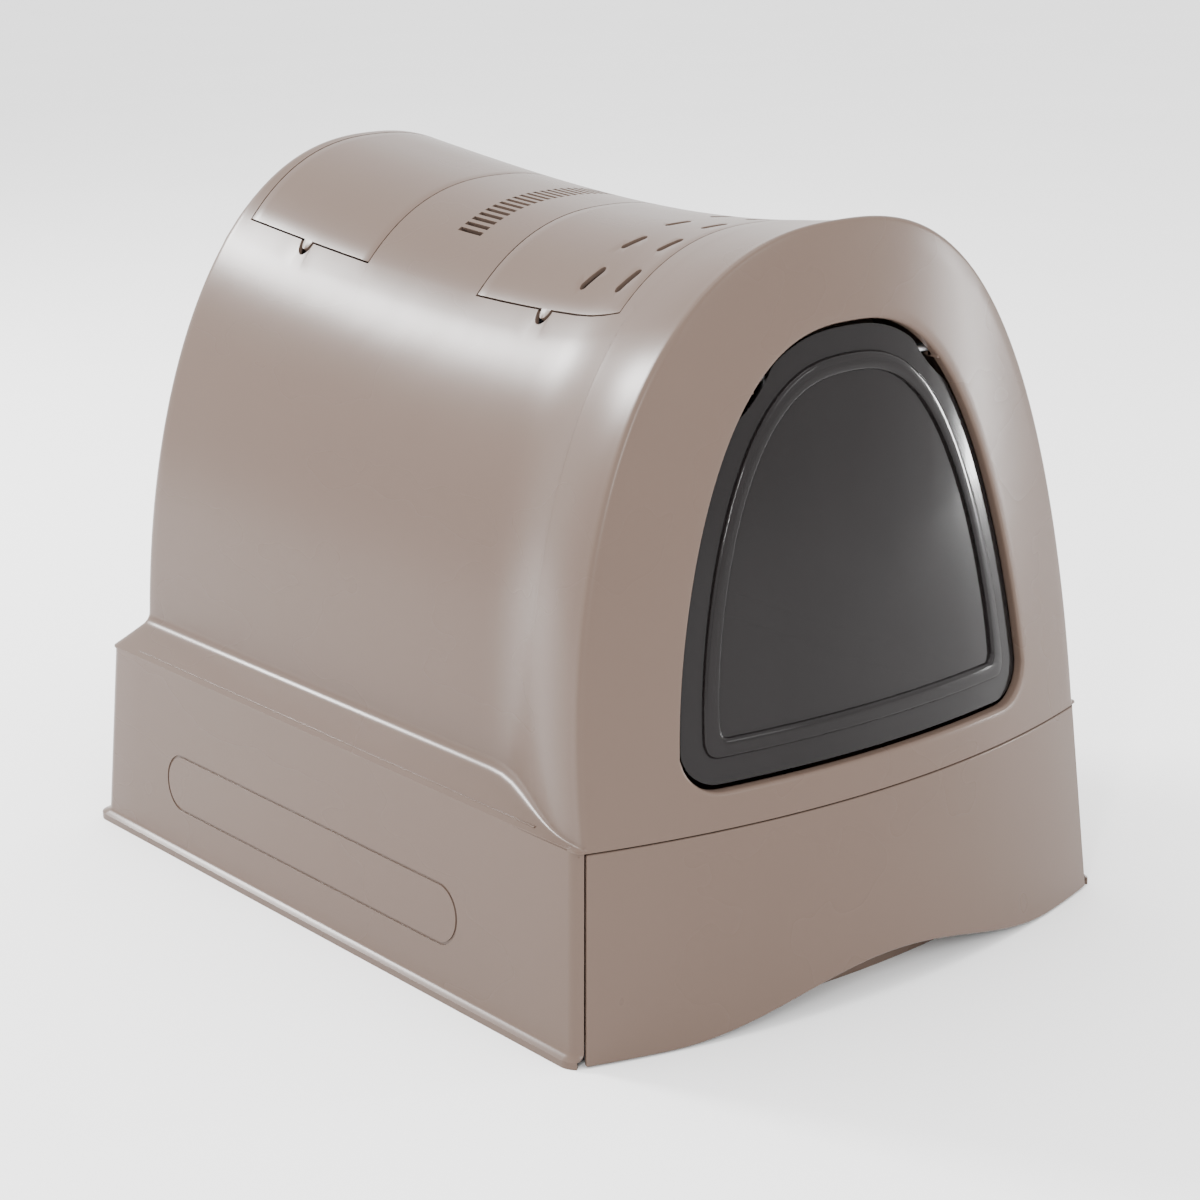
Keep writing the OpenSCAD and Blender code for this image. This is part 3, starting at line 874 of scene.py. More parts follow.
@dataclass
class Finishes:
    """The box's finishes, each made once."""

    taupe: bpy.types.Material = field(default_factory=lambda: MouldedPlastic(
        "taupe", (0.092, 0.0635, 0.050, 1.0)).make())
    scoop: bpy.types.Material = field(default_factory=lambda: MouldedPlastic(
        "scoop", (0.012, 0.012, 0.014, 1.0), tone=0.12, roughness=0.46, grain_depth=0.03).make())
    smoked: bpy.types.Material = field(default_factory=lambda: SmokedPlastic().make())
    steel: bpy.types.Material = field(default_factory=lambda: DrawnSteel().make())
    rubber: bpy.types.Material = field(default_factory=lambda: SoftRubber().make())
    charcoal: bpy.types.Material = field(default_factory=lambda: CharcoalFoam().make())


@dataclass(frozen=True)
class Fixture:
    """Where a piece belongs: its body, a slot name that nothing reads, and the CAD nodes that it
    stands for.
    """

    body: str
    slot: str
    nodes: tuple[str, ...] = ()


def fit(obj: bpy.types.Object, material: bpy.types.Material, fixture: Fixture) -> bpy.types.Object:
    """Dresses a piece and ties it to its body.

    Args:
        obj: the piece, in place.
        material: its finish.
        fixture: where it belongs.

    Returns:
        The same object.
    """
    obj.data.materials.clear()
    obj.data.materials.append(material)
    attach(obj, fixture.body)
    if fixture.nodes:
        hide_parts(*fixture.nodes)
    LOG.info("piece %s on %s", obj.name, fixture.body)
    return obj


def refined(node: str, name: str, edge: float = 0.0) -> bpy.types.Object:
    """Makes a piece from a copy of a CAD node, with its faces joined and its edges rounded.

    Args:
        node: name of the CAD node.
        name: name of the new piece.
        edge: width of the rounding on its edges, in millimetres, or 0 for none.

    Returns:
        The new piece.
    """
    bm = bmesh.new()
    bm.from_mesh(bpy.data.objects[node].data)
    bmesh.ops.remove_doubles(bm, verts=bm.verts, dist=0.01 * MM)
    bmesh.ops.dissolve_limit(bm, angle_limit=math.radians(0.4), verts=bm.verts, edges=bm.edges)
    obj = to_object(bm, name, smooth=28)
    thicken(obj, Wall(edge=edge, segments=3))
    return obj


def rooted(low: Sequence[float], high: Sequence[float], root: Callable[[Vector], Vector],
           end: Callable[[Vector], bool]) -> bmesh.types.BMesh:
    """Makes a block one end of which is moved on to a curved skin.

    Args:
        low: the block's lowest corner, in millimetres.
        high: its highest corner.
        root: gives the new place of a corner, in millimetres.
        end: tells whether a corner, in millimetres, is to be moved.

    Returns:
        The new mesh.
    """
    bm = block(low, high)
    for vert in bm.verts:
        place = vert.co / MM
        if end(place):
            vert.co = root(place) * MM
    return bm


# ---- Hood ----------------------------------------------------------------------------


@dataclass
class Hood:
    """The hood: one moulded skin from the doorway's collar over the roof to the back."""

    finishes: Finishes
    wall: float = 3.0
    rim_r: float = 3.2
    search_z: float = 400.0
    rim_steps: int = 9
    crease: float = 0.6
    lip_r: float = 2.2
    collar_d: float = 6.5
    back_r: float = 9.0
    fillet: float = 5.5
    roof_hw: float = 103.0
    lid_hw: float = 94.8
    hinge_side: float = 97.1
    lid_hl: float = 64.8
    lid_steps: tuple[float, ...] = (17.0, 28.0, 40.0, 52.0)
    notch_x: float = -94.0
    notch_r: float = 6.5
    vent_count: int = 27
    vent_pitch: float = 4.9
    vent_w: float = 2.6
    vent_y: tuple[float, float] = (4.0, 26.0)
    first_y: float = -172.0
    blend_runs: tuple[float, ...] = (5.5, 8.6, 8.9, 9.4, 10.0, 13.0, 17.0, 22.0, 28.0, 35.0, 43.0,
                                     50.0, 56.0)
    ledge_steps: int = 6
    fillet_steps: int = 6
    side_steps: int = 30
    bottom_steps: int = 56
    roof: list[float] = field(init=False)
    vent_at: int = field(init=False)
    before: int = field(init=False)

    # The section runs from the seam's left corner over the roof to the right one. Its
    # columns are points of the ledge, points of the side wall and lines along the roof.

    def __post_init__(self) -> None:
        """Lists the lines along the roof, and counts the section's columns left of them."""
        vents = [(k - (self.vent_count - 1) / 2) * self.vent_pitch + side * self.vent_w / 2
                 for k in range(self.vent_count) for side in (-1, 1)]
        sides = [68.0, 72.0, 78.0, 84.0, 90.5]
        left = [-self.roof_hw, -self.lid_hw] + [-x for x in reversed(sides)]
        self.roof = left + vents + sides + [self.hinge_side, self.roof_hw]
        self.vent_at = len(left)
        self.before = 1 + self.ledge_steps + self.fillet_steps + self.side_steps

    def build(self) -> None:
        """Builds the skin, opens the roof in it and gives it its thickness."""
        loft = Loft(closed=True)
        self._face(loft)
        self._rim(loft)
        rows = self._rows()
        marks: list[list[bmesh.types.BMVert]] = []
        for y in rows:
            loft.ring(self._section(lambda x, z: y, 0.0))
            marks.append(loft.verts)
        self._back(loft, rows[-1])
        self._bend_notches(rows, marks)
        self._open_roof(loft.bm, rows, marks)
        obj = to_object(loft.bm, "hood_shell", out=Vector((0, 0, 1)), smooth=40)
        thicken(obj, Wall(self.wall, edge=0.45, segments=2, angle=50))
        fit(obj, self.finishes.taupe, Fixture("hood", "taupe", ("hood",)))

    def _section(self, y_at: Callable[[float, float], float], inset: float) -> list[Vector]:
        """Gives one ring of the shell.

        Args:
            y_at: gives y for a point's x and z.
            inset: distance inside the outer surface.

        Returns:
            The ring's points from left to right.
        """
        half = [self._side_point(i, y_at, inset) for i in range(self.before)]
        middle = []
        for x in self.roof:
            z = FORM.roof_z(x, y_at(x, self.search_z))
            for _ in range(3):
                z = FORM.roof_z(x, y_at(x, z))
            middle.append(Vector((x, y_at(x, z), z - inset * self._cover(x))))
        return half + middle + [Vector((-p.x, p.y, p.z)) for p in reversed(half)]

    def _cover(self, x: float) -> float:
        """Gives how far down a step of 1 square to the roof goes at x."""
        return 1.0 + 0.35 * (abs(x) / self.roof_hw) ** 2

    def _side_point(self, i: int, y_at: Callable[[float, float], float], inset: float) -> Vector:
        """Gives a point of the left half: seam corner, ledge, fillet, then side wall.

        Args:
            i: index of the point, from the seam corner on.
            y_at: gives y for a point's x and z.
            inset: distance inside the outer surface.

        Returns:
            The point, in millimetres.
        """
        x, z = -FORM.seam_hw + inset, FORM.seam_z + 1.0
        for _ in range(5):
            u = FORM.station(x, y_at(x, z), z)
            x, z = self._half_section(i, u, inset)
        return Vector((x, y_at(x, z), z))

    def _half_section(self, i: int, u: float, inset: float) -> tuple[float, float]:
        """Gives a point of the left half at one station.

        Args:
            i: index of the point, from the seam corner on.
            u: share of the way from front to back.
            inset: distance inside the outer surface.

        Returns:
            The point's x and z.
        """
        a, f, c = FORM.half_w(u) - inset, FORM.foot(u) - 0.6 * inset, FORM.crown(u) - inset
        side, top = FORM.powers(u)
        edge_x, edge_z = inset - FORM.seam_hw, FORM.seam_z
        if i == 0:
            return edge_x, edge_z
        ledge = max(1.0, FORM.seam_hw - FORM.half_w(u))
        r = min(self.fillet, 0.3 * ledge)
        down = Vector((edge_x + a, edge_z + 0.8 - f))
        shelf = Vector((-a, f)) + down.normalized() * r
        i -= 1
        if i < self.ledge_steps:
            t = i / (self.ledge_steps - 1) * (1 - 1 / 7)
            p = Vector((edge_x, edge_z + 0.8)).lerp(shelf, t)
            return p.x, p.y
        i -= self.ledge_steps
        high = math.asin(min(1.0, r / (c - f)) ** (top / 2))
        wall = Vector(superellipse(a, f, c - f, high, side, top))
        if i < self.fillet_steps:
            t = i / self.fillet_steps
            corner = Vector((-a, f))
            p = shelf.lerp(corner, t).lerp(corner.lerp(wall, t), t)
            return p.x, p.y
        i -= self.fillet_steps
        end = math.acos(min(1.0, (self.roof_hw / (a + inset)) ** (side / 2)))
        t = high + (end - high) * i / self.side_steps
        return superellipse(a, f, c - f, t, side, top)

    def _rows(self) -> list[float]:
        """Lists the straight rows between the front rim and the back.

        Returns:
            The rows' y, from front to rear.
        """
        notch = [self.notch_r * math.sin(math.radians(a)) for a in range(-90, 91, 18)]
        steps = [*self.lid_steps, self.lid_hl]
        around = [-s for s in reversed(steps)] + notch + steps
        front, rear = ([kind.mid_y + step for step in around] for kind in LidKind)
        first, last = self.vent_y
        between = [-22.0, -13.0, -4.0, first, 11.0, 19.0, last, 34.0, 44.0, 55.0, 66.0]
        return [self.first_y] + front + between + rear

    def _face(self, loft: Loft) -> None:
        """Draws the skin from the doorway's collar over the front face to the rim.

        Args:
            loft: the hood's skin, still empty.
        """
        outer = self._rim_ring(self.rim_r)
        match = [math.atan2(p.z - WAY.mid_z, p.x) for p in outer]
        loft.start([self._way_point(p, self.collar_d, 0.0) for p in match])
        loft.ring([self._way_point(p, self.lip_r + 1.0, 0.0) for p in match])
        for k in range(5):
            a = math.pi / 2 * k / 4
            deep, out = self.lip_r * (1 - math.sin(a)), self.lip_r * (1 - math.cos(a))
            loft.ring([self._way_point(p, deep, out) for p in match])
        edge = [self._way_point(p, 0.0, self.lip_r) for p in match]
        for k in range(1, self.rim_steps):
            flat = [near.lerp(far, k / self.rim_steps) for near, far in zip(edge, outer)]
            loft.ring([Vector((p.x, FORM.front_y(p.x, p.z), p.z)) for p in flat])
        loft.ring(outer)

    def _rim(self, loft: Loft) -> None:
        """Turns the skin round the rim, and eases it from the bow to the first straight row.

        Args:
            loft: the hood's skin, drawn as far as the rim.
        """
        loft.narrow(0, 2 * self.before + len(self.roof) - 1)
        for k in range(1, 5):
            a = math.pi / 2 * k / 4
            inset, deep = self.rim_r * (1 - math.sin(a)), self.rim_r * (1 - math.cos(a))
            loft.ring(self._section(lambda x, z: FORM.front_y(x, z) + deep, inset))
        start, end = 10.0, self.blend_runs[-1]
        for run in self.blend_runs:
            blend = max(0.0, (run - start) / end) ** 1.5
            sink = self.crease * max(0.0, 1 - (run - start) / (end - start)) if run > 9 else 0.0
            loft.ring(self._section(lambda x, z: self._eased(x, z, run, blend), sink))

    def _back(self, loft: Loft, last: float) -> None:
        """Draws the skin on to the back, rounds its edge and closes it.

        Args:
            loft: the hood's skin, drawn as far as the last straight row.
            last: y of that row.
        """
        for k in range(1, 6):
            t = k / 5
            loft.ring(self._section(
                lambda x, z: last + (FORM.back_y(z) - self.back_r - last) * t, 0.0))
        for k in range(1, 8):
            a = math.pi / 2 * k / 7
            inset, deep = self.back_r * (1 - math.cos(a)), self.back_r * (1 - math.sin(a))
            loft.ring(self._section(lambda x, z: FORM.back_y(z) - deep, inset))
        loft.cap()

    def _eased(self, x: float, z: float, run: float, blend: float) -> float:
        """Gives y of a row that eases from the bowed rim to the first straight row."""
        bowed = FORM.front_y(x, z) + run
        return bowed + (self.first_y - bowed) * blend

    def _rim_ring(self, inset: float) -> list[Vector]:
        """Gives the outline of the front face: the arch, then the bottom from right to left.

        Args:
            inset: distance inside the outer surface.

        Returns:
            The outline's points.
        """
        arch = self._section(FORM.front_y, inset)
        corner = 1 + self.ledge_steps + self.fillet_steps
        for i in range(corner):
            t = i / corner
            for at, side in ((i, -1), (-1 - i, 1)):
                wall = arch[corner] if side < 0 else arch[-1 - corner]
                x, z = wall.x + side * 1.0 * (1 - t), FORM.seam_z + (wall.z - FORM.seam_z) * t
                arch[at] = Vector((x, FORM.front_y(x, z), z))
        right, left = arch[-1], arch[0]
        bottom = []
        for k in range(1, self.bottom_steps):
            t = k / self.bottom_steps
            t = 0.5 - 0.5 * math.copysign(abs(1 - 2 * t) ** 0.75, 1 - 2 * t)
            x = right.x + (left.x - right.x) * t
            bottom.append(Vector((x, FORM.front_y(x, FORM.seam_z), FORM.seam_z)))
        return arch + bottom

    @staticmethod
    def _way_point(angle: float, deep: float, out: float) -> Vector:
        """Gives the point of the doorway's edge in one direction from its middle.

        Args:
            angle: the direction, in radians.
            deep: distance behind the face.
            out: distance out from the edge.

        Returns:
            The point, in millimetres.
        """
        outline = WAY.outline(-out)
        dx, dz = math.cos(angle), math.sin(angle)
        best = None
        for (x0, z0), (x1, z1) in zip(outline, outline[1:] + outline[:1]):
            ex, ez = x1 - x0, z1 - z0
            det = dx * -ez + dz * ex
            if abs(det) < 1e-12:
                continue
            t = (x0 * -ez + (z0 - WAY.mid_z) * ex) / det
            s = (dx * (z0 - WAY.mid_z) - dz * x0) / det
            if t > 0 and -1e-9 <= s <= 1 + 1e-9:
                best = (dx * t, WAY.mid_z + dz * t)
        x, z = best
        return Vector((x, FORM.front_y(x, z, deep), z))

    def _bend_notches(self, rows: Sequence[float], marks: Sequence[Sequence[bmesh.types.BMVert]]
                      ) -> None:
        """Bends the lid openings' left edge out into the round finger notches.

        Args:
            rows: y of each straight row.
            marks: each straight row's vertices.
        """
        column = self.before + 1
        for y, ring in zip(rows, marks):
            for kind in LidKind:
                reach = self.notch_r ** 2 - (y - kind.mid_y) ** 2
                x = self.notch_x - math.sqrt(max(0.0, reach))
                if reach > 0 and x < -self.lid_hw:
                    ring[column].co = FORM.roof_point(x, y, 0.0) * MM

    def _open_roof(self, bm: bmesh.types.BMesh, rows: Sequence[float],
                   marks: Sequence[Sequence[bmesh.types.BMVert]]) -> None:
        """Deletes the faces in the lid openings and the vents.

        Args:
            bm: the hood's skin.
            rows: y of each straight row.
            marks: each straight row's vertices.
        """
        holes: list[tuple[int, int, float, float]] = []
        left = self.before + 1
        right = self.before + self.roof.index(self.hinge_side)
        for kind in LidKind:
            holes.append((left, right, kind.mid_y - self.lid_hl, kind.mid_y + self.lid_hl))
        for k in range(self.vent_count):
            at = self.before + self.vent_at + 2 * k
            holes.append((at, at + 1, *self.vent_y))
        gone = []
        for c0, c1, y0, y1 in holes:
            r0, r1 = rows.index(y0), rows.index(y1)
            for r in range(r0, r1):
                for c in range(c0, c1):
                    corner = {marks[r][c], marks[r][c + 1], marks[r + 1][c], marks[r + 1][c + 1]}
                    gone += [f for f in marks[r][c].link_faces if set(f.verts) == corner]
        bmesh.ops.delete(bm, geom=gone, context="FACES")


@dataclass(frozen=True)
class Hinge:
    """The hinge line of a roof lid, which follows the roof's slope."""

    kind: LidKind
    x: float = 86.3
    pin_span: float = 134.0

    def end_z(self, end: End) -> float:
        """Gives the line's height at an end of the lid."""
        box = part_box(f"{self.kind.value}_lid_pin_{end.name.lower()}")
        return (box[0][2] + box[1][2]) / 2 / MM

    def place(self) -> Matrix:
        """Gives the matrix that moves to the line's middle, with Y along the line.

        Returns:
            The matrix, in millimetres.
        """
        front, rear = self.end_z(End.FRONT), self.end_z(End.REAR)
        tilt = math.atan2(rear - front, self.pin_span)
        middle = Matrix.Translation(Vector((self.x, self.kind.mid_y, (front + rear) / 2)))
        return middle @ Matrix.Rotation(tilt, 4, "X")

    def lug(self, end: End, start: float, length: float, radius: float, deep: float
            ) -> bmesh.types.BMesh:
        """Makes a round lug on the line, with a neck up to the roof.

        Args:
            end: front or rear.
            start: distance of the lug from the lid's middle.
            length: length of the lug.
            radius: radius of the lug.
            deep: how far below the roof the neck ends.

        Returns:
            The new mesh.
        """
        place = self.place()
        along = (place.to_3x3() @ Vector((0, 1, 0))) * end.value
        first = place @ Vector((0, end.value * start, 0))
        bar = rod(first, along, length, radius)
        ys = sorted((first.y, (first + along * length).y))
        neck = rooted((self.x - radius, ys[0], first.z - 1), (self.x + radius, ys[1], first.z + 5),
                      lambda p: FORM.roof_point(p.x, p.y, -deep), lambda p: p.z > first.z + 1)
        return merged([bar, neck])


def door_pin_line(side: Side) -> tuple[float, float]:
    """Gives y and z of the line on which the door turns, in millimetres, from one of its pins."""
    low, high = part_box(f"door_pin_{side.name.lower()}")
    return (low[1] + high[1]) / 2 / MM, (low[2] + high[2]) / 2 / MM


@dataclass
class HoodFittings:
    """What stands inside the hood: the door's bosses, the lids' bosses and the side tongues."""

    finishes: Finishes
    boss_x: float = 66.0
    boss_w: float = 8.0
    boss_r: float = 5.5
    lid_boss_r: float = 5.0
    lid_boss_w: float = 8.0
    lid_boss_at: float = 65.8
    web_l: float = 10.0
    tongue_t: float = 2.3
    tongue_low: float = 10.0
    tongue_high: float = 3.0
    tongue_in: float = 3.3
    tongue_y: tuple[float, float] = (-190.0, 225.0)

    def build(self) -> None:
        """Builds the fittings as one piece."""
        parts = []
        for side in Side:
            parts += [self._door_boss(side), self._tongue(side)]
        for kind in LidKind:
            parts += [Hinge(kind).lug(end, self.lid_boss_at, self.lid_boss_w, self.lid_boss_r, 1.0)
                      for end in End]
        obj = to_object(merged(parts), "hood_fittings")
        thicken(obj, Wall(edge=0.35))
        fit(obj, self.finishes.taupe, Fixture("hood", "taupe", ("hood",)))

    def _door_boss(self, side: Side) -> bmesh.types.BMesh:
        """Makes one boss for the door's pin, with its web from the front wall.

        Args:
            side: left or right.

        Returns:
            The new mesh.
        """
        y, z = door_pin_line(side)
        x = self.boss_x if side is Side.RIGHT else -self.boss_x - self.boss_w
        bar = rod(Vector((x, y, z)), Vector((1, 0, 0)), self.boss_w, self.boss_r)
        web = rooted((x, y - self.web_l, z - self.boss_r), (x + self.boss_w, y, z + self.boss_r),
                     lambda p: Vector((p.x, FORM.front_y(p.x, p.z, 1.5), p.z)),
                     lambda p: p.y < y - self.web_l / 2)
        return merged([bar, web])

    def _tongue(self, side: Side) -> bmesh.types.BMesh:
        """Makes one tongue that drops inside the base's side wall.

        Args:
            side: left or right.

        Returns:
            The new mesh.
        """
        half, (front, rear) = self.tongue_t / 2, self.tongue_y
        x = side.value * (FORM.seam_hw - self.tongue_in - half)
        return block((x - half, front, FORM.seam_z - self.tongue_low),
                     (x + half, rear, FORM.seam_z + self.tongue_high))


# ---- Base and drawer -----------------------------------------------------------------


@dataclass
class Base:
    """The lower housing with its feet and the drawer's runners."""

    finishes: Finishes
    wall: float = 3.0
    lip_band: float = 4.0
    lip_blend: float = 8.0
    floor_z: float = 3.0
    floor_t: float = 3.0
    floor_front: float = 31.0
    floor_in: float = 1.6
    skirt_z: float = 0.3
    oval_y: tuple[float, float] = (-128.0, 184.0)
    oval_z: float = 48.0
    oval_h: float = 36.0
    groove: tuple[float, float] = (1.6, 0.9)

    def build(self) -> None:
        """Builds the housing, the feet and the runners."""
        self._walls()
        self._floor()
        for side in Side:
            name = f"drawer_runner_{side.name.lower()}"
            fit(refined(name, f"{name}_rail", edge=0.6), self.finishes.taupe,
                Fixture("base", "taupe", (name,)))
        fit(refined("rubber_feet", "rubber_feet_pads", edge=0.8), self.finishes.rubber,
            Fixture("base", "rubber", ("rubber_feet",)))

    def _ring(self, z: float, out: float) -> list[Vector]:
        """Gives the walls' outline at a height, set out at its sides and back by the lip.

        Args:
            z: height of the outline.
            out: share of the lip by which it is set out.

        Returns:
            The outline's points.
        """
        lean = FORM.draft * z / FORM.seam_z
        side = FORM.lip * (1 - out) + lean * (1 - out)
        return FORM.plan(side, lean * (1 - out), FORM.corner_r, z, FORM.post_w)

    def _walls(self) -> None:
        """Builds the walls with their bottom lip, front posts and grooved ovals."""
        loft = Loft(closed=False)
        loft.start(self._ring(0, 1))
        loft.ring(self._ring(self.lip_band, 1))
        for k in range(1, 5):
            t = k / 4
            z = self.lip_band + (self.lip_blend - self.lip_band) * t
            loft.ring(self._ring(z, 1 - math.sin(math.pi / 2 * t)))
        for z in (14.0, 30.0, 48.0, 66.0, 84.0, 100.0, 110.0, FORM.seam_z):
            loft.ring(self._ring(z, 0))
        obj = to_object(loft.bm, "base_walls", smooth=35)
        self._face_out(obj)
        thicken(obj, Wall(self.wall, edge=0))
        cut(obj, [to_object(self._groove(side), "groove") for side in Side])
        thicken(obj, Wall(edge=0.7, segments=3, angle=50))
        fit(obj, self.finishes.taupe, Fixture("base", "taupe", ("base",)))

    @staticmethod
    def _face_out(obj: bpy.types.Object) -> None:
        """Turns the walls' faces so that they look away from the middle.

        Args:
            obj: the walls.
        """
        faces = obj.data.polygons
        lean = sum(f.area * f.normal.dot(Vector((f.center.x, f.center.y, 0))) for f in faces)
        if lean < 0:
            obj.data.flip_normals()

    def _oval(self, side: Side, inset: float, out: float) -> list[Vector]:
        """Gives one outline of the groove.

        Args:
            side: left or right wall.
            inset: distance inside the oval's outer edge.
            out: distance out from the leaning wall.

        Returns:
            The outline's points.
        """
        y0, y1 = self.oval_y
        r = self.oval_h / 2 - inset
        ends = (y1 - self.oval_h / 2, y0 + self.oval_h / 2)
        ring = []
        for k in range(64):
            a = -math.pi / 2 + 2 * math.pi * k / 64
            end = ends[0] if k <= 32 else ends[1]
            up = r * math.sin(a)
            lean = math.atan2(FORM.draft, FORM.seam_z)
            face = FORM.width / 2 - FORM.lip - FORM.draft * self.oval_z / FORM.seam_z
            x = side.value * (face - up * math.sin(lean) + out * math.cos(lean))
            z = self.oval_z + up * math.cos(lean) + out * math.sin(lean)
            ring.append(Vector((x, end + r * math.cos(a), z)))
        return ring

    def _groove(self, side: Side) -> bmesh.types.BMesh:
        """Makes the cutter of one oval groove, a band that goes round.

        Args:
            side: left or right wall.

        Returns:
            The new mesh.
        """
        width, depth = self.groove
        loft = Loft(closed=True)
        loft.start(self._oval(side, 0, -depth))
        first = loft.edges()
        loft.ring(self._oval(side, 0, 1.0))
        loft.ring(self._oval(side, width, 1.0))
        loft.ring(self._oval(side, width, -depth))
        bmesh.ops.bridge_loops(loft.bm, edges=first + loft.edges())
        return loft.bm

    def _floor(self) -> None:
        """Builds the floor panel with its turned-down edge."""
        low, high = self.floor_z, self.floor_z + self.floor_t
        side, front, r = FORM.lip + self.floor_in, self.floor_front, FORM.corner_r - 2
        loft = Loft(closed=True)
        loft.start(FORM.plan(side + self.wall, front + self.wall, r, low))
        loft.cap()
        loft.ring(FORM.plan(side + self.wall, front + self.wall, r, self.skirt_z))
        loft.ring(FORM.plan(side, front, r, self.skirt_z))
        loft.ring(FORM.plan(side, front, r, high))
        loft.cap()
        obj = to_object(loft.bm, "base_floor", smooth=35)
        thicken(obj, Wall(edge=0.5))
        fit(obj, self.finishes.taupe, Fixture("base", "taupe", ("base",)))


@dataclass
class Drawer:
    """The drawer: its bowed front with the finger wave, its hooks and the litter tray."""

    finishes: Finishes
    gap: float = 0.8
    thickness: float = 3.5
    edge: float = 1.1
    cols: int = 96
    rows: int = 14
    hook_x: tuple[float, ...] = (-110.0, 0.0, 110.0)
    hook_w: float = 24.0
    hook_reach: float = 14.0
    hook_t: float = 3.0
    hook_drop: float = 6.0
    tray_top: float = 103.0
    tray_low: float = 8.8
    tray_t: float = 2.5
    tray_r: float = 27.0
    tray_lean: float = 6.0
    tray_foot_r: float = 5.0
    tray_bed_r: float = 6.0
    tray_side: float = 21.5
    rim_side: float = 18.5
    rim_front: float = 12.3
    rim_t: float = 2.5
    grip_room: float = 24.0
    slide_gap: float = 0.3

    def build(self) -> None:
        """Builds the front, the hooks and the tray."""
        self._front()
        self._hooks()
        self._tray()

    def _hook_y(self, x: float) -> float:
        """Gives y of a hook's back."""
        r = FORM.bow_r - self.thickness - FORM.draft
        return FORM.bow_y - math.sqrt(r * r - x * x) + self.hook_reach

    def _tray_ring(self, z: float, inset: float) -> list[Vector]:
        """Gives the tray's outline at a height.

        Args:
            z: height of the outline.
            inset: distance inside the tray's outer face.

        Returns:
            The outline's points.
        """
        up = min(1.0, (z - self.tray_low) / (self.tray_top - self.tray_low))
        return FORM.plan(self.tray_side + self.tray_lean * (1 - up) + inset,
                         self.grip_room + self.thickness + FORM.draft * up + inset,
                         self.tray_r - inset, z)

    def _tray(self) -> None:
        """Builds the litter tray with its rim and the slots for the hooks."""
        top, low, t = self.tray_top, self.tray_low, self.tray_t
        loft = Loft(closed=True)
        loft.start(self._tray_ring(low, self.tray_foot_r))
        loft.cap()
        for a in (30, 60, 90):
            s, c = math.sin(math.radians(a)), math.cos(math.radians(a))
            loft.ring(self._tray_ring(low + self.tray_foot_r * (1 - c), self.tray_foot_r * (1 - s)))
        rim = top - self.rim_t
        loft.ring(self._tray_ring(rim, 0))
        loft.ring(FORM.plan(self.rim_side, self.rim_front, FORM.corner_r, rim))
        loft.ring(FORM.plan(self.rim_side, self.rim_front, FORM.corner_r, top))
        loft.ring(self._tray_ring(top, t))
        loft.ring(self._tray_ring(top - 8, t))
        for a in (0, 22.5, 45, 67.5, 90):
            s, c = math.sin(math.radians(a)), math.cos(math.radians(a))
            loft.ring(self._tray_ring(low + t + self.tray_bed_r * (1 - s),
                                      t + self.tray_bed_r * (1 - c)))
        loft.cap()
        obj = to_object(loft.bm, "litter_tray_pan", smooth=35)
        slots = []
        for x in self.hook_x:
            half, gap, y = self.hook_w / 2, self.slide_gap, self._hook_y(x)
            slots.append(to_object(block((x - half - gap, y - self.hook_t - gap, rim - 1),
                                         (x + half + gap, y + gap, top + 1)), "slot"))
        cut(obj, slots)
        thicken(obj, Wall(edge=0.5, segments=2, angle=40))
        fit(obj, self.finishes.taupe, Fixture("drawer", "taupe", ("litter_tray",)))

    def _low(self, x: float) -> float:
        """Gives the height of the front's bottom edge."""
        wave = (1 + math.cos(math.pi * min(1.0, abs(x) / FORM.wave_w))) / 2
        return FORM.low_gap + FORM.wave_h * wave

    def _front_point(self, i: int, j: int) -> Vector:
        """Gives a point of the front's face.

        Args:
            i: column, from left to right.
            j: row, from bottom to top.

        Returns:
            The point, in millimetres.
        """
        share, t = 2 * i / self.cols - 1, j / self.rows
        x = share * FORM.seam_hw
        for _ in range(4):
            z = self._low(x) + (FORM.seam_z - self.gap - self._low(x)) * t
            mouth = FORM.seam_hw - FORM.post_w + FORM.draft * (1 - z / FORM.seam_z)
            x = share * (mouth - self.gap)
        return Vector((x, FORM.base_front_y(x, z), z))

    def _front(self) -> None:
        """Builds the bowed front."""
        bm = grid(self.cols, self.rows, self._front_point)
        obj = to_object(bm, "drawer_front_panel", out=Vector((0, -1, 0)))
        thicken(obj, Wall(self.thickness, edge=self.edge, segments=4))
        fit(obj, self.finishes.taupe, Fixture("drawer", "taupe", ("drawer_front",)))

    def _hooks(self) -> None:
        """Builds the hooks behind the front."""
        parts = []
        for x in self.hook_x:
            y, half = self._hook_y(x), self.hook_w / 2
            parts.append(rooted(
                (x - half, y - self.hook_reach, self.tray_top),
                (x + half, y, self.tray_top + self.hook_t),
                lambda p: Vector((p.x, FORM.base_front_y(p.x, p.z, self.thickness / 2), p.z)),
                lambda p: p.y < y - self.hook_reach / 2))
            parts.append(block((x - half, y - self.hook_t, self.tray_top - self.hook_drop),
                               (x + half, y, self.tray_top + 0.5)))
        obj = to_object(merged(parts), "drawer_hooks")
        thicken(obj, Wall(edge=0.5))
        fit(obj, self.finishes.taupe, Fixture("drawer", "taupe", ("drawer_front",)))


# ---- Door ----------------------------------------------------------------------------


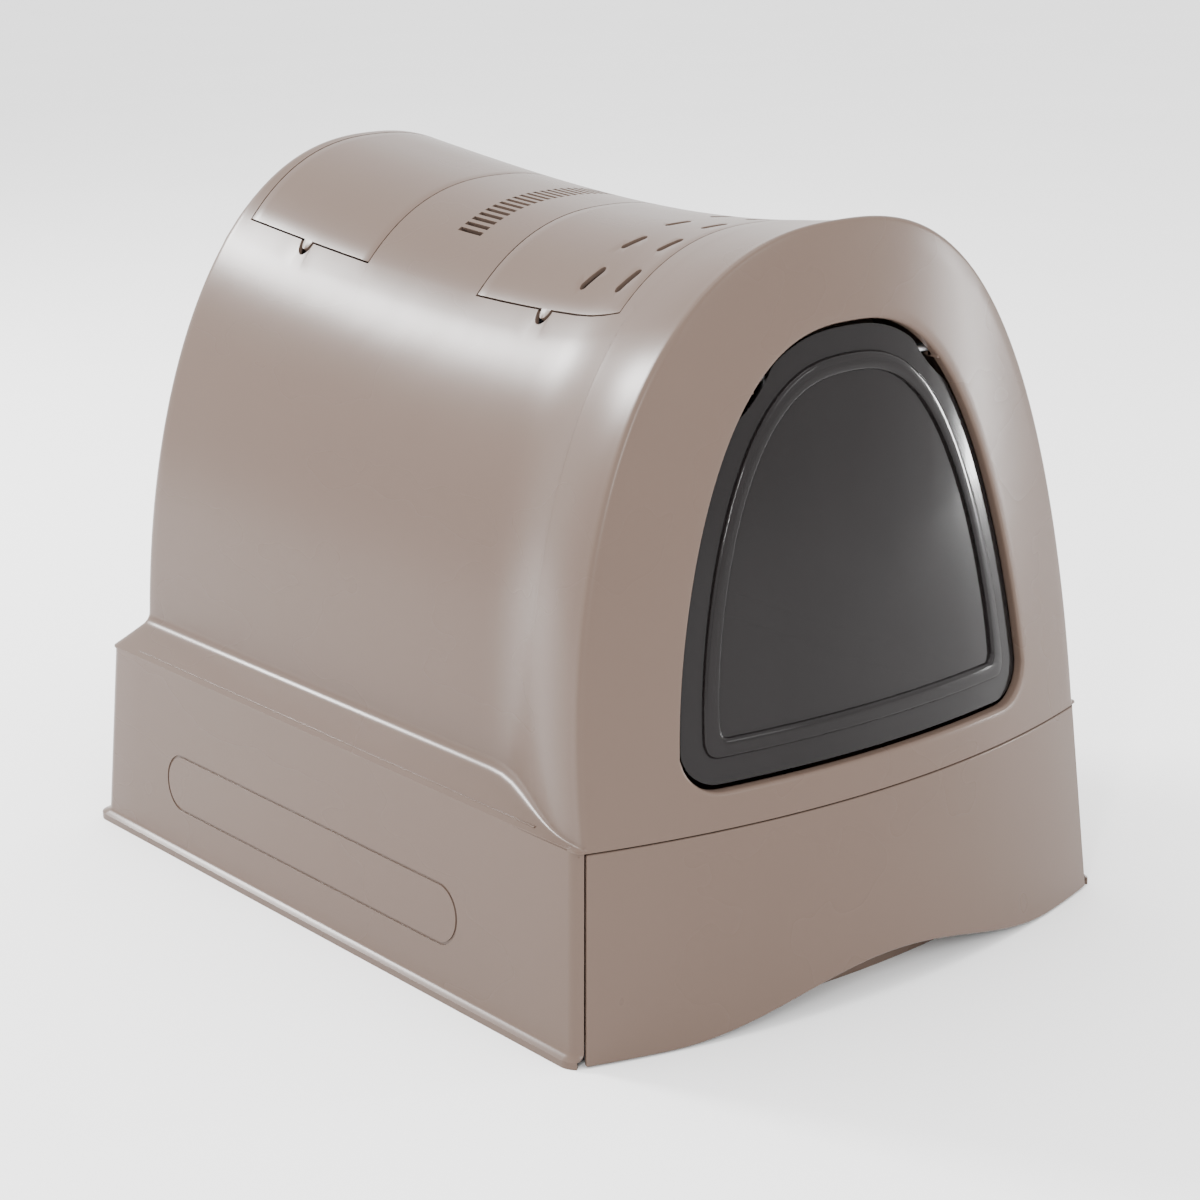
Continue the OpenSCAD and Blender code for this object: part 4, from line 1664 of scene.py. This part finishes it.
@dataclass
class SwingDoor:
    """The smoked swing door with its raised bead, its ears and its pins."""

    finishes: Finishes
    gap: float = 3.0
    recess: float = 5.0
    thickness: float = 2.5
    bead: tuple[float, float] = (18.0, 26.0)
    bead_h: float = 2.6
    bead_foot: float = 1.2
    bead_flank: float = 2.2
    relief_r: float = 80.0
    relief_z: float = 342.0
    relief_off: float = 74.0
    ear_x: float = 46.0
    ear_w: float = 7.0
    ear_r: float = 4.5

    def build(self) -> None:
        """Builds the pane, the ears and the pins."""
        self._pane()
        self._ears()
        for side in Side:
            name = f"door_pin_{side.name.lower()}"
            fit(refined(name, f"{name}_wire", edge=0.3), self.finishes.steel,
                Fixture("hood", "pin_steel", (name,)))

    def _profile(self) -> list[tuple[float, float]]:
        """Lists the pane's rings from its edge inwards.

        Returns:
            Each ring's distance inside the doorway, and its depth behind the face.
        """
        start, end = self.bead[0] - self.bead_foot, self.bead[1] - 1.0
        rings = [(d, self.recess) for d in (self.gap, 5.0, 8.0, 12.0, 15.5, start)]
        for k in range(1, 6):
            a = math.pi / 2 * k / 5
            rings.append((start + self.bead_flank * (1 - math.cos(a)),
                          self.recess - self.bead_h * math.sin(a)))
        for k in range(6):
            a = math.pi / 2 * k / 5
            rings.append((end + self.bead_flank * math.sin(a),
                          self.recess - self.bead_h * math.cos(a)))
        return rings + [(d, self.recess) for d in (30.0, 36.0, 44.0, 54.0, 66.0, 80.0, 94.0, 106.0)]

    def _ring(self, d: float, recess: float) -> list[Vector]:
        """Gives one ring of the pane, bitten in beside each pin.

        Args:
            d: distance inside the doorway.
            recess: depth behind the face.

        Returns:
            The ring's points.
        """
        up = (self.relief_z - WAY.sill_z) / WAY.height
        edge = WAY.width / 2 * (1 - up ** WAY.top_power) ** (1 / WAY.side_power)
        step = ((self.relief_z + 1 - WAY.sill_z) / WAY.height) ** WAY.top_power
        turn = math.atan(edge - WAY.width / 2 * (1 - step) ** (1 / WAY.side_power))
        ring = []
        for x, z in WAY.outline(d):
            side = math.copysign(1.0, x)
            centre = Vector((side * (edge + self.relief_off * math.cos(turn)),
                             self.relief_z + self.relief_off * math.sin(turn)))
            away = Vector((x, z)) - centre
            reach = self.relief_r + 0.6 * (d - self.gap)
            if away.length < reach:
                x, z = centre + away.normalized() * reach
            ring.append(Vector((x, FORM.front_y(x, z, recess), z)))
        return ring

    def _pane(self) -> None:
        """Builds the pane."""
        rings = self._profile()
        loft = Loft(closed=True)
        loft.start(self._ring(*rings[0]))
        for d, recess in rings[1:]:
            loft.ring(self._ring(d, recess))
        loft.cap()
        obj = to_object(loft.bm, "door_pane", out=Vector((0, -1, 0)), smooth=55)
        thicken(obj, Wall(self.thickness, edge=0.6, segments=3, angle=60))
        fit(obj, self.finishes.smoked, Fixture("door", "smoked", ("swing_door",)))

    def _ears(self) -> None:
        """Builds the ears that turn on the pins."""
        parts = []
        for side in Side:
            y, z = door_pin_line(side)
            x = self.ear_x if side is Side.RIGHT else -self.ear_x - self.ear_w
            parts.append(rod(Vector((x, y, z)), Vector((1, 0, 0)), self.ear_w, self.ear_r))
            parts.append(rooted(
                (x, y - 8, z - self.ear_r), (x + self.ear_w, y, z + self.ear_r),
                lambda p: Vector((p.x, FORM.front_y(p.x, p.z, self.recess + 1.6), p.z)),
                lambda p: p.y < y - 4))
        obj = to_object(merged(parts), "door_ears")
        thicken(obj, Wall(edge=0.3))
        fit(obj, self.finishes.smoked, Fixture("door", "smoked", ("swing_door",)))


# ---- Roof lids -----------------------------------------------------------------------


@dataclass
class RoofLid:
    """A lid that follows the roof, with a finger tab on its left and ears on its right."""

    finishes: Finishes
    kind: LidKind
    half_w: float = 94.0
    half_l: float = 63.75
    thickness: float = 2.5
    edge: float = 0.55
    tab_r: float = 4.0
    slot_l: float = 15.0
    slot_w: float = 5.5
    slot_turn: float = -22.0
    slot_x: tuple[float, ...] = (-76.0, -47.0, -16.0, 16.0, 47.0, 76.0)
    slot_y: tuple[float, ...] = (-18.5, -49.0)
    cell: float = 7.0
    ear_w: float = 8.0
    ear_r: float = 4.5

    def build(self) -> None:
        """Builds the lid, its ears and its pins."""
        node = f"{self.kind.value}_lid"
        fixture = Fixture(self.kind.body, "taupe", (node,))
        fit(self._plate(f"{node}_plate"), self.finishes.taupe, fixture)
        start = self.half_l - self.ear_w - 2
        ears = [Hinge(self.kind).lug(end, start, self.ear_w, self.ear_r, 1.2) for end in End]
        obj = to_object(merged(ears), f"{node}_ears")
        thicken(obj, Wall(edge=0.3))
        fit(obj, self.finishes.taupe, fixture)
        for end in End:
            name = f"{node}_pin_{end.name.lower()}"
            fit(refined(name, f"{name}_wire", edge=0.25), self.finishes.steel,
                Fixture("hood", "pin_steel", (name,)))

    def _slot(self, x: float, y: float) -> bmesh.types.BMesh:
        """Makes the cutter of one air slot: a round bar drawn out to both sides.

        Args:
            x: middle of the slot.
            y: middle of the slot.

        Returns:
            The new mesh.
        """
        half = self.slot_l / 2 - self.slot_w / 2
        low, high = -self.thickness - 2, 2.0
        body = rod(Vector((0, 0, low)), Vector((0, 0, 1)), high - low, self.slot_w / 2, 0.01)
        for vert in body.verts:
            if abs(vert.co.x) > 1e-6:
                vert.co.x += math.copysign(half * MM, vert.co.x)
        turn = Matrix.Rotation(math.radians(self.slot_turn), 3, "Z")
        bmesh.ops.rotate(body, cent=(0, 0, 0), matrix=turn, verts=body.verts)
        bmesh.ops.translate(body, vec=Vector((x, y, 0)) * MM, verts=body.verts)
        return body

    def _plate(self, name: str) -> bpy.types.Object:
        """Builds the lid flat, then lays it on the roof's curve.

        Args:
            name: name of the piece.

        Returns:
            The new piece.
        """
        mid = self.kind.mid_y
        plate = to_object(block((-self.half_w, mid - self.half_l, -self.thickness),
                                (self.half_w, mid + self.half_l, 0)), name)
        tab = to_object(rod(Vector((-self.half_w, mid, -self.thickness)), Vector((0, 0, 1)),
                            self.thickness, self.tab_r, 0.01), "tab")
        join = plate.modifiers.new("Tab", "BOOLEAN")
        join.operation, join.solver, join.object = "UNION", "EXACT", tab
        slots = self.slot_x if self.kind is LidKind.FILTER else ()
        cut(plate, [to_object(self._slot(x, mid + y), "slot") for x in slots for y in self.slot_y])
        bpy.data.objects.remove(tab)
        bm = bmesh.new()
        bm.from_mesh(plate.data)
        bmesh.ops.remove_doubles(bm, verts=bm.verts, dist=0.01 * MM)
        bmesh.ops.dissolve_limit(bm, angle_limit=math.radians(1), verts=bm.verts, edges=bm.edges)
        sharp = [e for e in bm.edges if e.calc_face_angle(0) > math.radians(60)]
        bmesh.ops.bevel(bm, geom=sharp, offset=self.edge * MM, offset_type="OFFSET", segments=3,
                        profile=0.5, affect="EDGES", clamp_overlap=True, material=-1)
        self._slice(bm)
        for vert in bm.verts:
            x, y, up = vert.co / MM
            vert.co = FORM.roof_point(x, y, up) * MM
        bmesh.ops.recalc_face_normals(bm, faces=bm.faces)
        bm.to_mesh(plate.data)
        bm.free()
        for polygon in plate.data.polygons:
            polygon.use_smooth = True
        plate.data.set_sharp_from_angle(angle=math.radians(35))
        return plate

    def _slice(self, bm: bmesh.types.BMesh) -> None:
        """Cuts the flat lid into cells small enough to bend.

        Args:
            bm: the flat lid.
        """
        mid = self.kind.mid_y
        for axis, (low, high) in enumerate(((-self.half_w, self.half_w),
                                            (mid - self.half_l, mid + self.half_l))):
            count = round((high - low) / self.cell)
            for i in range(1, count):
                at, normal = Vector((0, 0, 0)), Vector((0, 0, 0))
                at[axis] = (low + (high - low) * i / count) * MM
                normal[axis] = 1
                bmesh.ops.bisect_plane(bm, geom=bm.verts[:] + bm.edges[:] + bm.faces[:], dist=1e-6,
                                       plane_co=at, plane_no=normal)


# ---- Pockets under the roof ----------------------------------------------------------


@dataclass
class Pockets:
    """The storage bin with its scoop, and the filter cage with its grille and filter."""

    finishes: Finishes

    def build(self) -> None:
        """Builds the pockets and what they hold."""
        taupe = self.finishes.taupe
        for node in ("storage_bin", "filter_cage", "filter_grille"):
            fit(refined(node, f"{node}_body", edge=0.5), taupe, Fixture("hood", "taupe", (node,)))
        fit(refined("litter_scoop", "litter_scoop_body", edge=0.6), self.finishes.scoop,
            Fixture("hood", "scoop", ("litter_scoop",)))
        fit(refined("carbon_filter", "carbon_filter_pad", edge=1.2), self.finishes.charcoal,
            Fixture("hood", "charcoal", ("carbon_filter",)))


# ---- Camera and light ----------------------------------------------------------------


@dataclass(frozen=True)
class Softbox:
    """A rectangular soft light, placed in metres."""

    name: str
    at: tuple[float, float, float]
    aim: tuple[float, float, float]
    size: tuple[float, float]
    watts: float

    def hang(self) -> None:
        """Hangs the light so that it looks at its aim."""
        data = bpy.data.lights.new(self.name, "AREA")
        data.shape, data.energy = "RECTANGLE", self.watts
        data.size, data.size_y = self.size
        light = bpy.data.objects.new(self.name, data)
        at = Vector(self.at)
        turn = (Vector(self.aim) - at).to_track_quat("-Z", "Y").to_matrix().to_4x4()
        light.matrix_world = Matrix.Translation(at) @ turn
        bpy.context.scene.collection.objects.link(light)


@dataclass(frozen=True)
class Studio:
    """The camera, the pale floor and surroundings, and the soft lights."""

    camera_at: tuple[float, float, float] = (-1020.8, -1336.2, 659.3)
    target: tuple[float, float, float] = (28.66, -22.92, 168.03)
    roll: float = -1.1
    focal: float = 86.795
    shift: tuple[float, float] = (-0.0373, -0.0049)
    floor_half: float = 12.0
    sky: float = 2.4
    lights: tuple[Softbox, ...] = (
        Softbox("overhead", (-0.3, 0.1, 2.4), (0.0, 0.0, 0.2), (1.6, 2.0), 42),
        Softbox("shoulder", (-1.0, 2.2, 1.45), (0.0, 0.0, 0.3), (0.55, 0.32), 110),
        Softbox("front", (0.9, -3.0, 1.4), (0.0, 0.0, 0.2), (1.2, 1.0), 25),
        Softbox("edge", (-2.4, -2.0, 1.5), (0.0, 0.0, 0.3), (0.25, 0.9), 60),
        Softbox("strip", (2.0, -1.15, 0.2), (0.1, -0.23, 0.25), (0.14, 0.5), 30),
    )

    def build(self) -> None:
        """Sets up the camera, the floor, the surroundings and the lights."""
        self._camera()
        self._floor()
        self._sky()
        for light in self.lights:
            light.hang()

    def _camera(self) -> None:
        """Places the camera."""
        data = bpy.data.cameras.new("camera")
        data.lens, data.sensor_width, data.sensor_fit = self.focal, 36.0, "HORIZONTAL"
        data.shift_x, data.shift_y = self.shift
        data.dof.use_dof = False
        data.clip_start, data.clip_end = 0.05, 50.0
        camera = bpy.data.objects.new("camera", data)
        at, aim = Vector(self.camera_at) * MM, Vector(self.target) * MM
        turn = (aim - at).to_track_quat("-Z", "Y").to_matrix()
        turn = turn @ Matrix.Rotation(math.radians(self.roll), 3, "Z")
        camera.matrix_world = Matrix.Translation(at) @ turn.to_4x4()
        bpy.context.scene.collection.objects.link(camera)
        bpy.context.scene.camera = camera

    def _floor(self) -> None:
        """Lays the pale floor."""
        bm = bmesh.new()
        bmesh.ops.create_grid(bm, x_segments=1, y_segments=1, size=self.floor_half)
        floor = to_object(bm, "floor", out=Vector((0, 0, 1)))
        material, nodes, shader = new_material("floor")
        tone = nodes.mix(nodes.noise(3.0, 2.0), (0.86, 0.86, 0.86, 1), (0.9, 0.9, 0.9, 1))
        nodes.tree.links.new(tone.socket, shader.inputs["Base Color"])
        shader.inputs["Roughness"].default_value = 0.7
        shader.inputs["Specular IOR Level"].default_value = 0.1
        floor.data.materials.append(material)

    def _sky(self) -> None:
        """Sets the pale surroundings."""
        world = bpy.data.worlds.new("studio")
        world.use_nodes = True
        back = world.node_tree.nodes["Background"]
        back.inputs["Color"].default_value = (1.0, 1.0, 1.0, 1)
        back.inputs["Strength"].default_value = self.sky
        bpy.context.scene.world = world


def main() -> None:
    """Builds the box piece by piece, then the studio round it."""
    logging.basicConfig(level=logging.INFO, format="%(message)s")
    Studio().build()
    finishes = Finishes()
    Base(finishes).build()
    Drawer(finishes).build()
    Hood(finishes).build()
    HoodFittings(finishes).build()
    SwingDoor(finishes).build()
    Pockets(finishes).build()
    for kind in (LidKind.STORAGE, LidKind.FILTER):
        RoofLid(finishes, kind).build()


if __name__ == "__main__":
    main()
